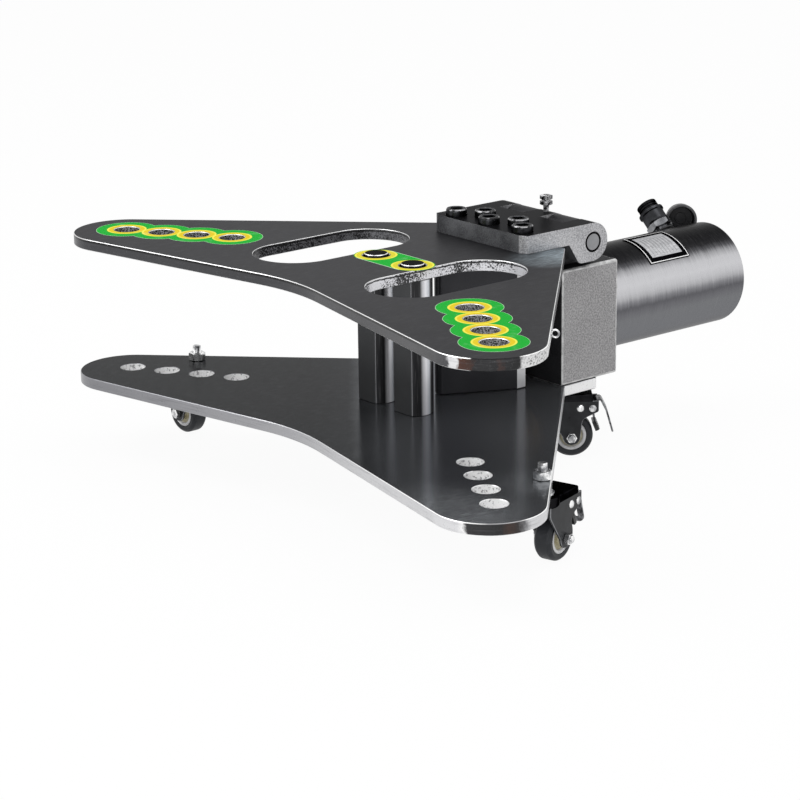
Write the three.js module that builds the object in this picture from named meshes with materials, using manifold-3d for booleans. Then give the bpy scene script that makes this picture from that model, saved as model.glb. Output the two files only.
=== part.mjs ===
// Hydraulic busbar bending machine: two bow-tie plates, a flip-up top plate on a pin hinge, a ram
// with a wedge punch between the plates, two D-section bending posts and four braked casters.
// Millimetres, +Z up, +Y towards the cylinder, +X to the right. While it is built, X = 0 is the
// plane of symmetry, Y = 0 joins the two outermost wing holes and Z = 0 is the floor.
import * as THREE from "three";
import { mergeVertices } from "three/addons/utils/BufferGeometryUtils.js";
import Module from "manifold-3d";

const wasm = await Module();
wasm.setup();

// Fits and finish of the mesh
const CHORD_ERROR = 0.3; // how far a flat facet may lie inside its true round
const SEAT_GAP = 0.3; // between pieces that rest on each other
const RUNNING_GAP = 0.3; // radial, between pieces that turn or slide in each other
const OVERRUN = 2; // how far a cutting solid stands past the face that it cuts

// Plates
const PLATE_THICKNESS = 12.5;
const PLATE_CLEAR_HEIGHT = 151.8; // takes a bar 150 mm high
const TIP_RADIUS = 58;
const TIP_INSET_X = 3; // from the outermost wing hole to the middle of the tip round
const TIP_INSET_Y = 5;
const FRONT_EDGE_ANGLE = THREE.MathUtils.degToRad(11.7);
const FRONT_BEND_RADIUS = 250;
const PLATE_HEAD_GAP = 7.5; // from the upper plate's rear edge to the head block
const PLATE_LEAF_MARGIN = 5.02; // how far that edge's corners stand past the leaf's sides
const PLATE_CORNER_RADIUS = 6;
const TONGUE_UNDER_HEAD = 57.5; // how far the lower plate reaches under the head block

// Holes in the plates
const WING_HOLE_RADIUS = 15;
const WING_HOLE_PITCH = 44;
const WING_ROW_ANGLE = THREE.MathUtils.degToRad(30.4);
const WING_HOLES = 4;
const SLOT_WIDTH = 97;
const SLOT_LENGTH = 194.5;
const SLOT_Y = 126.8;
const POST_SLOT_WEB = 4.5; // metal between a post hole and the slot
const WING_SLOT_WEB = 43.15; // metal between the slot and the innermost wing hole

// Bending posts
const POST_X = 31.5;
const POST_Y = 135.6;
const POST_RADIUS = 21.5;
const POST_FLAT_DISTANCE = 16; // from the post's axis to its flat
const POST_PIN_CLEARANCE = 0.7; // radial, lets the upper plate swing off the pins
const POST_PIN_CHAMFER = 2.5;
const POST_PIN_PROUD = 3;

// Head block and hinge
const HEAD_WIDTH = 140;
const HEAD_FRONT_Y = 318.5;
const HEAD_DEPTH = 86.5;
const HEAD_TOP_GAP = 17.5; // from the head's top to the upper plate's underside
const HEAD_EDGE_RADIUS = 5;
const HEAD_BEVEL = 2;
const HINGE_SETBACK = 39.5; // from the head's front face
const HINGE_DROP = 1.5; // pin axis below the upper plate's top face
const HINGE_PIN_RADIUS = 11.5;
const HINGE_PIN_CHAMFER = 1;
const LEAF_WIDTH = 156;
const LEAF_REACH = 102; // from the hinge axis to the leaf's front edge
const LEAF_THICKNESS = 20;
const LEAF_EAR_REACH = 36; // from the hinge axis to where the ear leaves the leaf's underside
const LEAF_EAR_TOE_REACH = 21;
const LEAF_EAR_TOE_RADIUS = 8;
const LEAF_CORNER_CUT_X = 10;
const LEAF_CORNER_CUT_Y = 5;
const KNUCKLE_WIDTH = 38;
const KNUCKLE_X = 34;
const KNUCKLE_SIDE_GAP = 0.5;
const KNUCKLE_DROP = 0.5; // top of the fixed knuckle below the leaf's top
const KNUCKLE_SWING_GAP = 1.5;
const KNUCKLE_FOOT_WIDTH = 42;

// Leaf screws
const SCREW_HEAD_RADIUS = 12;
const SCREW_HEAD_HEIGHT = 16;
const SCREW_SHANK_RADIUS = 8;
const SCREW_SUNK = 7;
const SCREW_SOCKET_FLATS = 14;
const SCREW_SOCKET_DEPTH = 8;
const SCREW_HEAD_CHAMFER = 1;
const FRONT_ROW_INSET = 16; // from the leaf's front edge
const SCREW_SIDE_INSET = 22; // from the leaf's side to the outer screws
const ROW_SPACING = 19;
const SCREW_END_GAP = 1; // from the screw's end to the plate's underside

// Hinge lock screw
const LOCK_SHANK_RADIUS = 3;
const LOCK_NECK_RADIUS = 3.3;
const LOCK_NECK_LENGTH = 8;
const LOCK_HEAD_RADIUS = 7.3;
const LOCK_HEAD_LENGTH = 11;
const LOCK_HEAD_CHAMFER = 1.2;
const LOCK_SLOT_WIDTH = 2.4;
const LOCK_SLOT_DEPTH = 3;

// Plate eye
const EYE_ALONG_EDGE = 58; // from the tip round, along the rear edge
const EYE_RADIUS = 4.2;
const EYE_WIRE_RADIUS = 1.2;
const EYE_STUD_RADIUS = 2;
const EYE_STUD_DEPTH = 10;

// Cylinder
const AXIS_DROP = 5.9; // below the middle of the room between the plates
const BARREL_BORE_RADIUS = 47.5;
const BARREL_WALL = 13;
const BARREL_LENGTH = 219; // behind the head
const BARREL_EDGE_CHAMFER = 3;
const SPIGOT_WALL = 6.5;
const SPIGOT_DEPTH = 24.5;
const BUSH_WALL = 7;
const BUSH_FLANGE_RIM = 6;
const BUSH_FLANGE_THICKNESS = 4;
const BUSH_END_GAP = 6; // the bush ends this far in front of the spigot's seat
const ROD_RADIUS = 25;
const ROD_TENON_RADIUS = 15;
const ROD_TENON_LENGTH = 24;
const ROD_TAIL_RADIUS = 12;
const PISTON_LENGTH = 30;
const PISTON_REST_GAP = 22; // from the plug to the piston, drawn back
const PISTON_SIDE_GAP = 0.6;
const SEAL_WIDTH = 6;
const SEAL_DEPTH = 5;
const PLUG_THICKNESS = 17;
const PLUG_RECESS = 3;
const PLUG_HOLE_RADIUS = 4;
const PLUG_HOLE_DEPTH = 8;
const PLUG_HOLE_X = 30;
const SPRING_WIRE_RADIUS = 4;
const SPRING_WALL_GAP = 9.5; // from the bore to the middle of the wire
const SPRING_TURNS = 9;
const SPRING_TURN_STEPS = 8;
const SPRING_WIRE_SIDES = 5;

// Punch
const PUNCH_HALF_WIDTH = 45;
const PUNCH_FLANK_ANGLE = THREE.MathUtils.degToRad(26.5);
const PUNCH_NOSE_RADIUS = 8;
const PUNCH_BODY_LENGTH = 12.5; // behind the shoulders
const PUNCH_REST_GAP = 27.2; // from the bush's flange to the punch, drawn back
const PUNCH_PLATE_GAP = 1;

// Oil port, coupler and its dust cap: standoffs are along the port, from the barrel's skin
const PORT_INSET = 30; // from the barrel's rear end
const PORT_ANGLE = THREE.MathUtils.degToRad(47); // from straight up, towards -X
const PORT_STUD_RADIUS = 8;
const PORT_BORE_RADIUS = 3;
const PORT_STUD_INSET = 10; // how far the stud reaches into the wall
const PORT_NECK_RADIUS = 9;
const PORT_SHOULDER_GAP = 0.7;
const HEX_FLATS = 26;
const HEX_STANDOFF = 10;
const HEX_HEIGHT = 7;
const SLEEVE_RADIUS = 13;
const SLEEVE_LENGTH = 17;
const SLEEVE_FLANGE_RADIUS = 14.75;
const SLEEVE_FLANGE_LENGTH = 3.5;
const CORE_RADIUS = 7;
const CORE_OVERLAP = 7;
const NOSE_RADIUS = 11.75;
const NOSE_LENGTH = 11.5;
const CORE_WALL = 1;
const NOSE_BORE_DEPTH = 12;
const NOSE_GROOVE_DEPTH = 1.4;
const NOSE_GROOVE_WIDTH = 2;
const NOSE_CHAMFER = 1.2;
const CAP_RADIUS = 19;
const CAP_WALL = 3;
const CAP_DEPTH = 18;
const CAP_FLOOR = 4;
const CAP_OFFSET_X = 5.6; // middle of the cap's mouth, from the port's axis
const CAP_OFFSET_Y = 33;
const CAP_STANDOFF = 13.5;
const CAP_TURN = THREE.MathUtils.degToRad(-47);
const CAP_LEAN = THREE.MathUtils.degToRad(121);
const STRAP_RING_RADIUS = 13.5;
const STRAP_THICKNESS = 2.5;
const STRAP_WIDTH = 9;
const STRAP_STANDOFF = 5;

// Name plate on the barrel
const NAME_PLATE_THICKNESS = 0.8;
const NAME_PLATE_SETBACK = 76; // from the head's rear face
const NAME_PLATE_LENGTH = 63;
const NAME_PLATE_FROM = THREE.MathUtils.degToRad(-2);
const NAME_PLATE_TO = THREE.MathUtils.degToRad(48.5);

// Casters: along is the way that the wheel trails, drops are below the fork's cap
const CASTER_HEIGHT = 80;
const CASTER_INSET_X = 24.5; // from the outermost wing hole
const LEFT_CASTER_Y = 74;
const RIGHT_CASTER_Y = 86;
const REAR_CASTER_X = 34;
const REAR_CASTER_INSET = 39; // from the lower plate's rear edge
const WHEEL_RADIUS = 25;
const WHEEL_WIDTH = 20;
const WHEEL_TRAIL = 22;
const TYRE_THICKNESS = 6;
const TYRE_SHOULDER = 1.6;
const HUB_RIM = 3;
const HUB_WEB_WIDTH = 13;
const HUB_BOSS_RADIUS = 8;
const AXLE_RADIUS = 4;
const AXLE_HEAD_FLATS = 13;
const AXLE_HEAD_HEIGHT = 5.3;
const AXLE_NUT_HEIGHT = 6.5;
const AXLE_END_PROUD = 2;
const WHEEL_SIDE_GAP = 2.5;
const FORK_LEG_THICKNESS = 2.5;
const FORK_CAP_OVERHANG = 2.5; // the cap's round past the legs
const FORK_CAP_THICKNESS = 11;
const FORK_CAP_REACH = 46; // along, from the stem
const FORK_FOOT_RADIUS = 8;
const FORK_WAIST_AHEAD = 15; // along, from the axle
const FORK_WAIST_DROP = 16.8;
const FORK_HEEL_BACK = 9; // from the stem, against the trail
const FORK_TOE_AHEAD = 7; // along, from the cap's end
const FORK_LEG_DROP = 9.8; // of heel and toe
const FORK_LEG_ROUND = 3;
const STEM_RADIUS = 5;
const STEM_PROUD = 8.5; // above the nut
const STEM_COLLAR_RADIUS = 12;
const STEM_COLLAR_THICKNESS = 3.6;
const KINGPIN_RADIUS = 6;
const KINGPIN_HEAD_RADIUS = 9;
const KINGPIN_HEAD_THICKNESS = 2.5;
const NUT_FLATS = 17;
const NUT_HEIGHT = 9;
const BRAKE_PIVOT_DROP = 5.8;
const BRAKE_PIVOT_RADIUS = 4;
const BRAKE_PIN_RADIUS = 2.5;
const BRAKE_PIN_HEAD_THICKNESS = 1.5;
const BRAKE_SHEET = 2.2;
const BRAKE_WIDTH = 18;
const BRAKE_BROW_AHEAD = 8.5; // along, from the cap's end
const BRAKE_BROW_RISE = 5.2;
const BRAKE_ELBOW_AHEAD = 16;
const BRAKE_ELBOW_DROP = 9.8;
const BRAKE_TIP_AHEAD = 24;
const BRAKE_TIP_DROP = 37.8;
const BRAKE_FOOT_ANGLE = THREE.MathUtils.degToRad(21.4); // from level, as the wheel sees it
const BRAKE_FOOT_GAP = 2.3;
const BRAKE_FOOT_LENGTH = 12;
const BRAKE_FOOT_THICKNESS = 5;

// Levels and places that follow from the sizes above
const LOWER_TOP_Z = CASTER_HEIGHT + PLATE_THICKNESS;
const UPPER_BOTTOM_Z = LOWER_TOP_Z + PLATE_CLEAR_HEIGHT;
const UPPER_TOP_Z = UPPER_BOTTOM_Z + PLATE_THICKNESS;
const HINGE_Z = UPPER_TOP_Z - HINGE_DROP;
const HINGE_Y = HEAD_FRONT_Y + HINGE_SETBACK;
const HINGE_BORE_RADIUS = HINGE_PIN_RADIUS + RUNNING_GAP;
const LEAF_TOP_Z = UPPER_TOP_Z + SEAT_GAP + LEAF_THICKNESS;
const LEAF_FRONT_Y = HINGE_Y - LEAF_REACH;
const FRONT_ROW_Y = LEAF_FRONT_Y + FRONT_ROW_INSET;
const FRONT_ROW_PITCH = LEAF_WIDTH / 2 - SCREW_SIDE_INSET;
const AXIS_Z = LOWER_TOP_Z + PLATE_CLEAR_HEIGHT / 2 - AXIS_DROP;
const HEAD_BASE_Z = LOWER_TOP_Z + SEAT_GAP;
const HEAD_TOP_Z = UPPER_BOTTOM_Z - HEAD_TOP_GAP;
const HEAD_REAR_Y = HEAD_FRONT_Y + HEAD_DEPTH;
const TONGUE_REAR_Y = HEAD_FRONT_Y + TONGUE_UNDER_HEAD;
const UPPER_PLATE_REAR_Y = HEAD_FRONT_Y - PLATE_HEAD_GAP;
const UPPER_PLATE_CORNER_X = LEAF_WIDTH / 2 + PLATE_LEAF_MARGIN;
const BUSH_FRONT_Y = HEAD_FRONT_Y - SEAT_GAP - BUSH_FLANGE_THICKNESS;
const BUSH_RADIUS = ROD_RADIUS + BUSH_WALL;
const PUNCH_REAR_Y = BUSH_FRONT_Y - PUNCH_REST_GAP;
const PUNCH_SHOULDER_Y = PUNCH_REAR_Y - PUNCH_BODY_LENGTH;
const BARREL_RADIUS = BARREL_BORE_RADIUS + BARREL_WALL;
const BARREL_REAR_Y = HEAD_REAR_Y + BARREL_LENGTH;
const SPIGOT_RADIUS = BARREL_BORE_RADIUS + SPIGOT_WALL;
const SPIGOT_SEAT_Y = HEAD_REAR_Y - SPIGOT_DEPTH;
const PLUG_REAR_Y = BARREL_REAR_Y - PLUG_RECESS;
const PISTON_REAR_Y = PLUG_REAR_Y - PLUG_THICKNESS - PISTON_REST_GAP;
const PISTON_FRONT_Y = PISTON_REAR_Y - PISTON_LENGTH;
const SPRING_RADIUS = BARREL_BORE_RADIUS - SPRING_WALL_GAP;
const NAME_PLATE_FRONT_Y = HEAD_REAR_Y + NAME_PLATE_SETBACK;
const PORT_Y = BARREL_REAR_Y - PORT_INSET;
const HEX_BASE = BARREL_RADIUS + HEX_STANDOFF;
const NOSE_BORE_RADIUS = CORE_RADIUS - CORE_WALL;
const CAP_HEIGHT = BARREL_RADIUS + CAP_STANDOFF;
const STRAP_HEIGHT = BARREL_RADIUS + STRAP_STANDOFF;
const SLOT_X = POST_X + WING_HOLE_RADIUS + POST_SLOT_WEB + SLOT_WIDTH / 2;
const INNER_HOLE_X = SLOT_X + SLOT_WIDTH / 2 + WING_SLOT_WEB + WING_HOLE_RADIUS;
const END_HOLE_X = INNER_HOLE_X + (WING_HOLES - 1) * WING_HOLE_PITCH * Math.cos(WING_ROW_ANGLE);
const TIP_X = END_HOLE_X - TIP_INSET_X;
const TIP_Y = -TIP_INSET_Y;
const STEM_COLLAR_Z = CASTER_HEIGHT - SEAT_GAP - STEM_COLLAR_THICKNESS;
const FORK_CAP_BASE_Z = STEM_COLLAR_Z - RUNNING_GAP - FORK_CAP_THICKNESS;
const FORK_INNER_HALF = WHEEL_WIDTH / 2 + WHEEL_SIDE_GAP;
const FORK_OUTER_HALF = FORK_INNER_HALF + FORK_LEG_THICKNESS;
const BRAKE_PIVOT_Z = FORK_CAP_BASE_Z - BRAKE_PIVOT_DROP;

// The rear edge touches the tip round and ends in the upper plate's corner
const [CORNER_FROM_TIP_X, CORNER_FROM_TIP_Y] = [UPPER_PLATE_CORNER_X - TIP_X, UPPER_PLATE_REAR_Y - TIP_Y];
const CORNER_FROM_TIP = Math.hypot(CORNER_FROM_TIP_X, CORNER_FROM_TIP_Y);
const REAR_EDGE_ANGLE =
  Math.atan2(CORNER_FROM_TIP_Y, CORNER_FROM_TIP_X) - Math.acos(TIP_RADIUS / CORNER_FROM_TIP);
const REAR_EDGE_REACH =
  TIP_RADIUS + TIP_X * Math.cos(REAR_EDGE_ANGLE) + TIP_Y * Math.sin(REAR_EDGE_ANGLE);

// Where the casters stand, and which way each one trails
const CASTER_X = END_HOLE_X - CASTER_INSET_X;
const REAR_CASTER_Y = TONGUE_REAR_Y - REAR_CASTER_INSET;
const CASTERS = [
  { name: "left", x: -CASTER_X, y: LEFT_CASTER_Y, heading: THREE.MathUtils.degToRad(181), nut: true },
  { name: "right", x: CASTER_X, y: RIGHT_CASTER_Y, heading: THREE.MathUtils.degToRad(107), nut: true },
  { name: "rear_left", x: -REAR_CASTER_X, y: REAR_CASTER_Y, heading: THREE.MathUtils.degToRad(98) },
  { name: "rear_right", x: REAR_CASTER_X, y: REAR_CASTER_Y, heading: THREE.MathUtils.degToRad(51) },
];

// Finishes
const finish = (color, roughness, metalness) =>
  new THREE.MeshStandardMaterial({ color, roughness, metalness });
const FINISH = {
  plateSteel: finish(0x47484a, 0.32, 0.9),
  castSteel: finish(0x8a8889, 0.6, 0.7),
  blackSteel: finish(0x2a2a2c, 0.4, 0.8),
  brushedSteel: finish(0x9fa0a4, 0.3, 0.95),
  bronze: finish(0xa9824a, 0.4, 0.9),
  zinc: finish(0xc9cbce, 0.3, 0.95),
  springSteel: finish(0x5b5d61, 0.4, 0.9),
  nitrile: finish(0x1c1c1d, 0.8, 0),
  rubber: finish(0x1b1b1c, 0.75, 0),
  plastic: finish(0xbdb9a8, 0.5, 0),
  foil: finish(0xdcdcdc, 0.35, 0.6),
};

// A manifold-3d solid from a closed three.js geometry
function solid(geometry) {
  const bare = geometry.clone();
  bare.deleteAttribute("normal");
  bare.deleteAttribute("uv");
  const merged = mergeVertices(bare);
  return new wasm.Manifold(
    new wasm.Mesh({
      numProp: 3,
      vertProperties: new Float32Array(merged.attributes.position.array),
      triVerts: new Uint32Array(merged.index.array),
    }),
  );
}

// A three.js geometry from a manifold-3d solid
function geometryOf(made) {
  const { vertProperties, triVerts } = made.getMesh();
  const geometry = new THREE.BufferGeometry();
  geometry.setAttribute("position", new THREE.BufferAttribute(vertProperties, 3));
  geometry.setIndex(new THREE.BufferAttribute(triVerts, 1));
  geometry.computeVertexNormals();
  return geometry;
}

// The geometry less the cutters
function cut(geometry, ...cutters) {
  return geometryOf(cutters.reduce((made, cutter) => made.subtract(solid(cutter)), solid(geometry)));
}

// The geometries as one solid
function joined(...geometries) {
  return geometryOf(geometries.map(solid).reduce((made, next) => made.add(next)));
}

// Steps that keep a turn of this angle within the chord error, at most a quarter turn each
function roundSteps(radius, angle) {
  const widest = 2 * Math.acos(1 - Math.min(CHORD_ERROR / radius, 1 - Math.SQRT1_2));
  return Math.max(1, Math.ceil(Math.abs(angle) / widest - 1e-6));
}

// Steps round a full circle, the same in each quarter
function circleSteps(radius) {
  return 4 * roundSteps(radius, Math.PI / 2);
}

// Points of an arc, ends included
function arcPoints(x, y, radius, from, to) {
  const steps = roundSteps(radius, to - from);
  return Array.from({ length: steps + 1 }, (_, i) => {
    const angle = from + ((to - from) * i) / steps;
    return new THREE.Vector2(x + radius * Math.cos(angle), y + radius * Math.sin(angle));
  });
}

// A closed ring of points round a circle
function circlePoints(x, y, radius) {
  const steps = circleSteps(radius);
  return Array.from({ length: steps }, (_, i) => {
    const angle = (2 * Math.PI * i) / steps;
    return new THREE.Vector2(x + radius * Math.cos(angle), y + radius * Math.sin(angle));
  });
}

// Points through the corners [x, y, radius] in turn, each corner rounded by its radius
function roundedPoints(corners) {
  return corners.flatMap(([x, y, radius], i) => {
    if (!radius) return [new THREE.Vector2(x, y)];
    const corner = new THREE.Vector2(x, y);
    const [beforeX, beforeY] = corners.at(i - 1);
    const [afterX, afterY] = corners[(i + 1) % corners.length];
    const back = new THREE.Vector2(beforeX, beforeY).sub(corner).normalize();
    const ahead = new THREE.Vector2(afterX, afterY).sub(corner).normalize();
    const half = Math.acos(THREE.MathUtils.clamp(back.dot(ahead), -1, 1)) / 2;
    const middle = back.clone().add(ahead).normalize().multiplyScalar(radius / Math.sin(half)).add(corner);
    const start = back.clone().multiplyScalar(radius / Math.tan(half)).add(corner).sub(middle);
    const end = ahead.clone().multiplyScalar(radius / Math.tan(half)).add(corner).sub(middle);
    const turn = Math.atan2(start.cross(end), start.dot(end));
    return arcPoints(middle.x, middle.y, radius, start.angle(), start.angle() + turn);
  });
}

// A prism on the outline, standing on z = base
function prism(points, height, base = 0, holes = []) {
  const shape = new THREE.Shape(points);
  shape.holes = holes.map((hole) => new THREE.Path(hole));
  const geometry = new THREE.ExtrudeGeometry(shape, { depth: height, bevelEnabled: false, steps: 1 });
  return geometry.translate(0, 0, base);
}

// A solid of revolution round Z, from [radius, height] pairs that run up its outside
function turned(profile, radiusForSteps) {
  const points = profile.map(([radius, height]) => new THREE.Vector2(radius, height));
  const widest = radiusForSteps ?? Math.max(...profile.map(([radius]) => radius));
  return new THREE.LatheGeometry(points, circleSteps(widest)).rotateX(Math.PI / 2);
}

// A plain round bar from z = base
function bar(radius, height, base = 0) {
  return turned([
    [0, base],
    [radius, base],
    [radius, base + height],
    [0, base + height],
  ]);
}

// A ring or tube from z = base
function tube(outer, inner, height, base = 0) {
  return turned([
    [inner, base],
    [outer, base],
    [outer, base + height],
    [inner, base + height],
    [inner, base],
  ]);
}

// The corners of a regular polygon round the origin
function polygonPoints(radius, sides) {
  return Array.from({ length: sides }, (_, i) => {
    const angle = (2 * Math.PI * i) / sides;
    return new THREE.Vector2(radius * Math.cos(angle), radius * Math.sin(angle));
  });
}

// A hexagon prism from z = base, by its width across flats
function hexBar(flats, height, base = 0) {
  return prism(polygonPoints(flats / 2 / Math.cos(Math.PI / 6), 6), height, base);
}

// Turns what was made along Z: a profile drawn in (Y, Z) then runs along X
function alongX(geometry) {
  const basis = new THREE.Matrix4().makeBasis(
    new THREE.Vector3(0, 1, 0),
    new THREE.Vector3(0, 0, 1),
    new THREE.Vector3(1, 0, 0),
  );
  return geometry.applyMatrix4(basis);
}

// Turns what was made along Z so that it runs along Y
function alongY(geometry) {
  return geometry.rotateX(-Math.PI / 2);
}

// A named mesh
function piece(name, geometry, material) {
  const mesh = new THREE.Mesh(geometry, material);
  mesh.name = name;
  return mesh;
}

// Right half of a plate's outline, from the middle of the front edge to the rear edge's end
function plateHalf(rearPoints) {
  const frontReach =
    TIP_RADIUS - TIP_X * Math.sin(FRONT_EDGE_ANGLE) - TIP_Y * Math.cos(FRONT_EDGE_ANGLE);
  const bendY = -(frontReach + FRONT_BEND_RADIUS) / Math.cos(FRONT_EDGE_ANGLE);
  const upright = Math.PI / 2;
  return [
    ...arcPoints(0, bendY, FRONT_BEND_RADIUS, upright, upright - FRONT_EDGE_ANGLE),
    ...arcPoints(TIP_X, TIP_Y, TIP_RADIUS, -upright - FRONT_EDGE_ANGLE, REAR_EDGE_ANGLE),
    ...rearPoints,
  ];
}

// Where the right wing's rear edge stands at a given Y
function rearEdgeX(y) {
  return (REAR_EDGE_REACH - y * Math.sin(REAR_EDGE_ANGLE)) / Math.cos(REAR_EDGE_ANGLE);
}

// Where it stands at a given X
function rearEdgeY(x) {
  return (REAR_EDGE_REACH - x * Math.cos(REAR_EDGE_ANGLE)) / Math.sin(REAR_EDGE_ANGLE);
}

// The whole outline from its right half, which starts on X = 0
function mirrored(half) {
  const left = half
    .slice(1)
    .reverse()
    .map((point) => new THREE.Vector2(-point.x, point.y));
  return [...half, ...left];
}

// Middles of the wing holes on the right, from the tip inwards
function wingHoleCentres() {
  return Array.from({ length: WING_HOLES }, (_, i) => ({
    x: END_HOLE_X - i * WING_HOLE_PITCH * Math.cos(WING_ROW_ANGLE),
    y: i * WING_HOLE_PITCH * Math.sin(WING_ROW_ANGLE),
  }));
}

// The holes that both plates share: the wing rows and the post holes
function sharedHoles() {
  const centres = [...wingHoleCentres(), { x: POST_X, y: POST_Y }];
  return [1, -1].flatMap((side) => centres.map(({ x, y }) => circlePoints(side * x, y, WING_HOLE_RADIUS)));
}

// A slot with round ends, its length along Y
function slotPoints(x, y) {
  const radius = SLOT_WIDTH / 2;
  const reach = SLOT_LENGTH / 2 - radius;
  return [
    ...arcPoints(x, y + reach, radius, 0, Math.PI),
    ...arcPoints(x, y - reach, radius, Math.PI, 2 * Math.PI),
  ];
}

function lowerPlate() {
  const half = HEAD_WIDTH / 2;
  const corner = arcPoints(
    half - PLATE_CORNER_RADIUS,
    TONGUE_REAR_Y - PLATE_CORNER_RADIUS,
    PLATE_CORNER_RADIUS,
    0,
    Math.PI / 2,
  );
  const outline = mirrored(plateHalf([new THREE.Vector2(half, rearEdgeY(half)), ...corner]));
  const stemHoles = CASTERS.map(({ x, y }) => circlePoints(x, y, STEM_RADIUS + SEAT_GAP));
  const holes = [...sharedHoles(), ...stemHoles];
  return piece("lower_plate", prism(outline, PLATE_THICKNESS, CASTER_HEIGHT, holes), FINISH.plateSteel);
}

// The upper plate, with tapped holes for the leaf screws and for the eye in its right edge
function upperPlate() {
  const corner = roundedPoints([
    [rearEdgeX(0), 0, 0],
    [UPPER_PLATE_CORNER_X, UPPER_PLATE_REAR_Y, PLATE_CORNER_RADIUS],
    [0, UPPER_PLATE_REAR_Y, 0],
  ]).slice(1, -1);
  const slots = [1, -1].map((side) => slotPoints(side * SLOT_X, SLOT_Y));
  const screws = screwPlaces().map(({ x, y }) => circlePoints(x, y, SCREW_SHANK_RADIUS + SEAT_GAP));
  const holes = [...sharedHoles(), ...slots, ...screws];
  const plate = prism(mirrored(plateHalf(corner)), PLATE_THICKNESS, UPPER_BOTTOM_Z, holes);
  const depth = EYE_STUD_DEPTH + SEAT_GAP;
  const eyeHole = placeAtEye(bar(EYE_STUD_RADIUS + SEAT_GAP, depth + OVERRUN, -depth));
  return piece("upper_plate", cut(plate, eyeHole), FINISH.plateSteel);
}

// Moves a geometry made along Z from the origin to the eye's seat in the upper plate's right edge
function placeAtEye(geometry) {
  const x = TIP_X + TIP_RADIUS * Math.cos(REAR_EDGE_ANGLE) - EYE_ALONG_EDGE * Math.sin(REAR_EDGE_ANGLE);
  const y = TIP_Y + TIP_RADIUS * Math.sin(REAR_EDGE_ANGLE) + EYE_ALONG_EDGE * Math.cos(REAR_EDGE_ANGLE);
  return geometry
    .rotateY(Math.PI / 2)
    .rotateZ(REAR_EDGE_ANGLE)
    .translate(x, y, UPPER_BOTTOM_Z + PLATE_THICKNESS / 2);
}

// A small ring on a stud, screwed into the plate's edge
function plateEye() {
  const base = EYE_WIRE_RADIUS + SEAT_GAP;
  const stud = bar(EYE_STUD_RADIUS, EYE_STUD_DEPTH + base, -EYE_STUD_DEPTH);
  const ring = new THREE.TorusGeometry(EYE_RADIUS, EYE_WIRE_RADIUS, 6, circleSteps(EYE_RADIUS))
    .rotateX(Math.PI / 2)
    .translate(0, 0, EYE_RADIUS + base);
  return piece("plate_eye", placeAtEye(joined(stud, ring)), FINISH.zinc);
}

// Middles of the five leaf screws: three in front, two behind them
function screwPlaces() {
  return [
    { x: -FRONT_ROW_PITCH, y: FRONT_ROW_Y },
    { x: 0, y: FRONT_ROW_Y },
    { x: FRONT_ROW_PITCH, y: FRONT_ROW_Y },
    { x: -FRONT_ROW_PITCH / 2, y: FRONT_ROW_Y + ROW_SPACING },
    { x: FRONT_ROW_PITCH / 2, y: FRONT_ROW_Y + ROW_SPACING },
  ];
}

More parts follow.
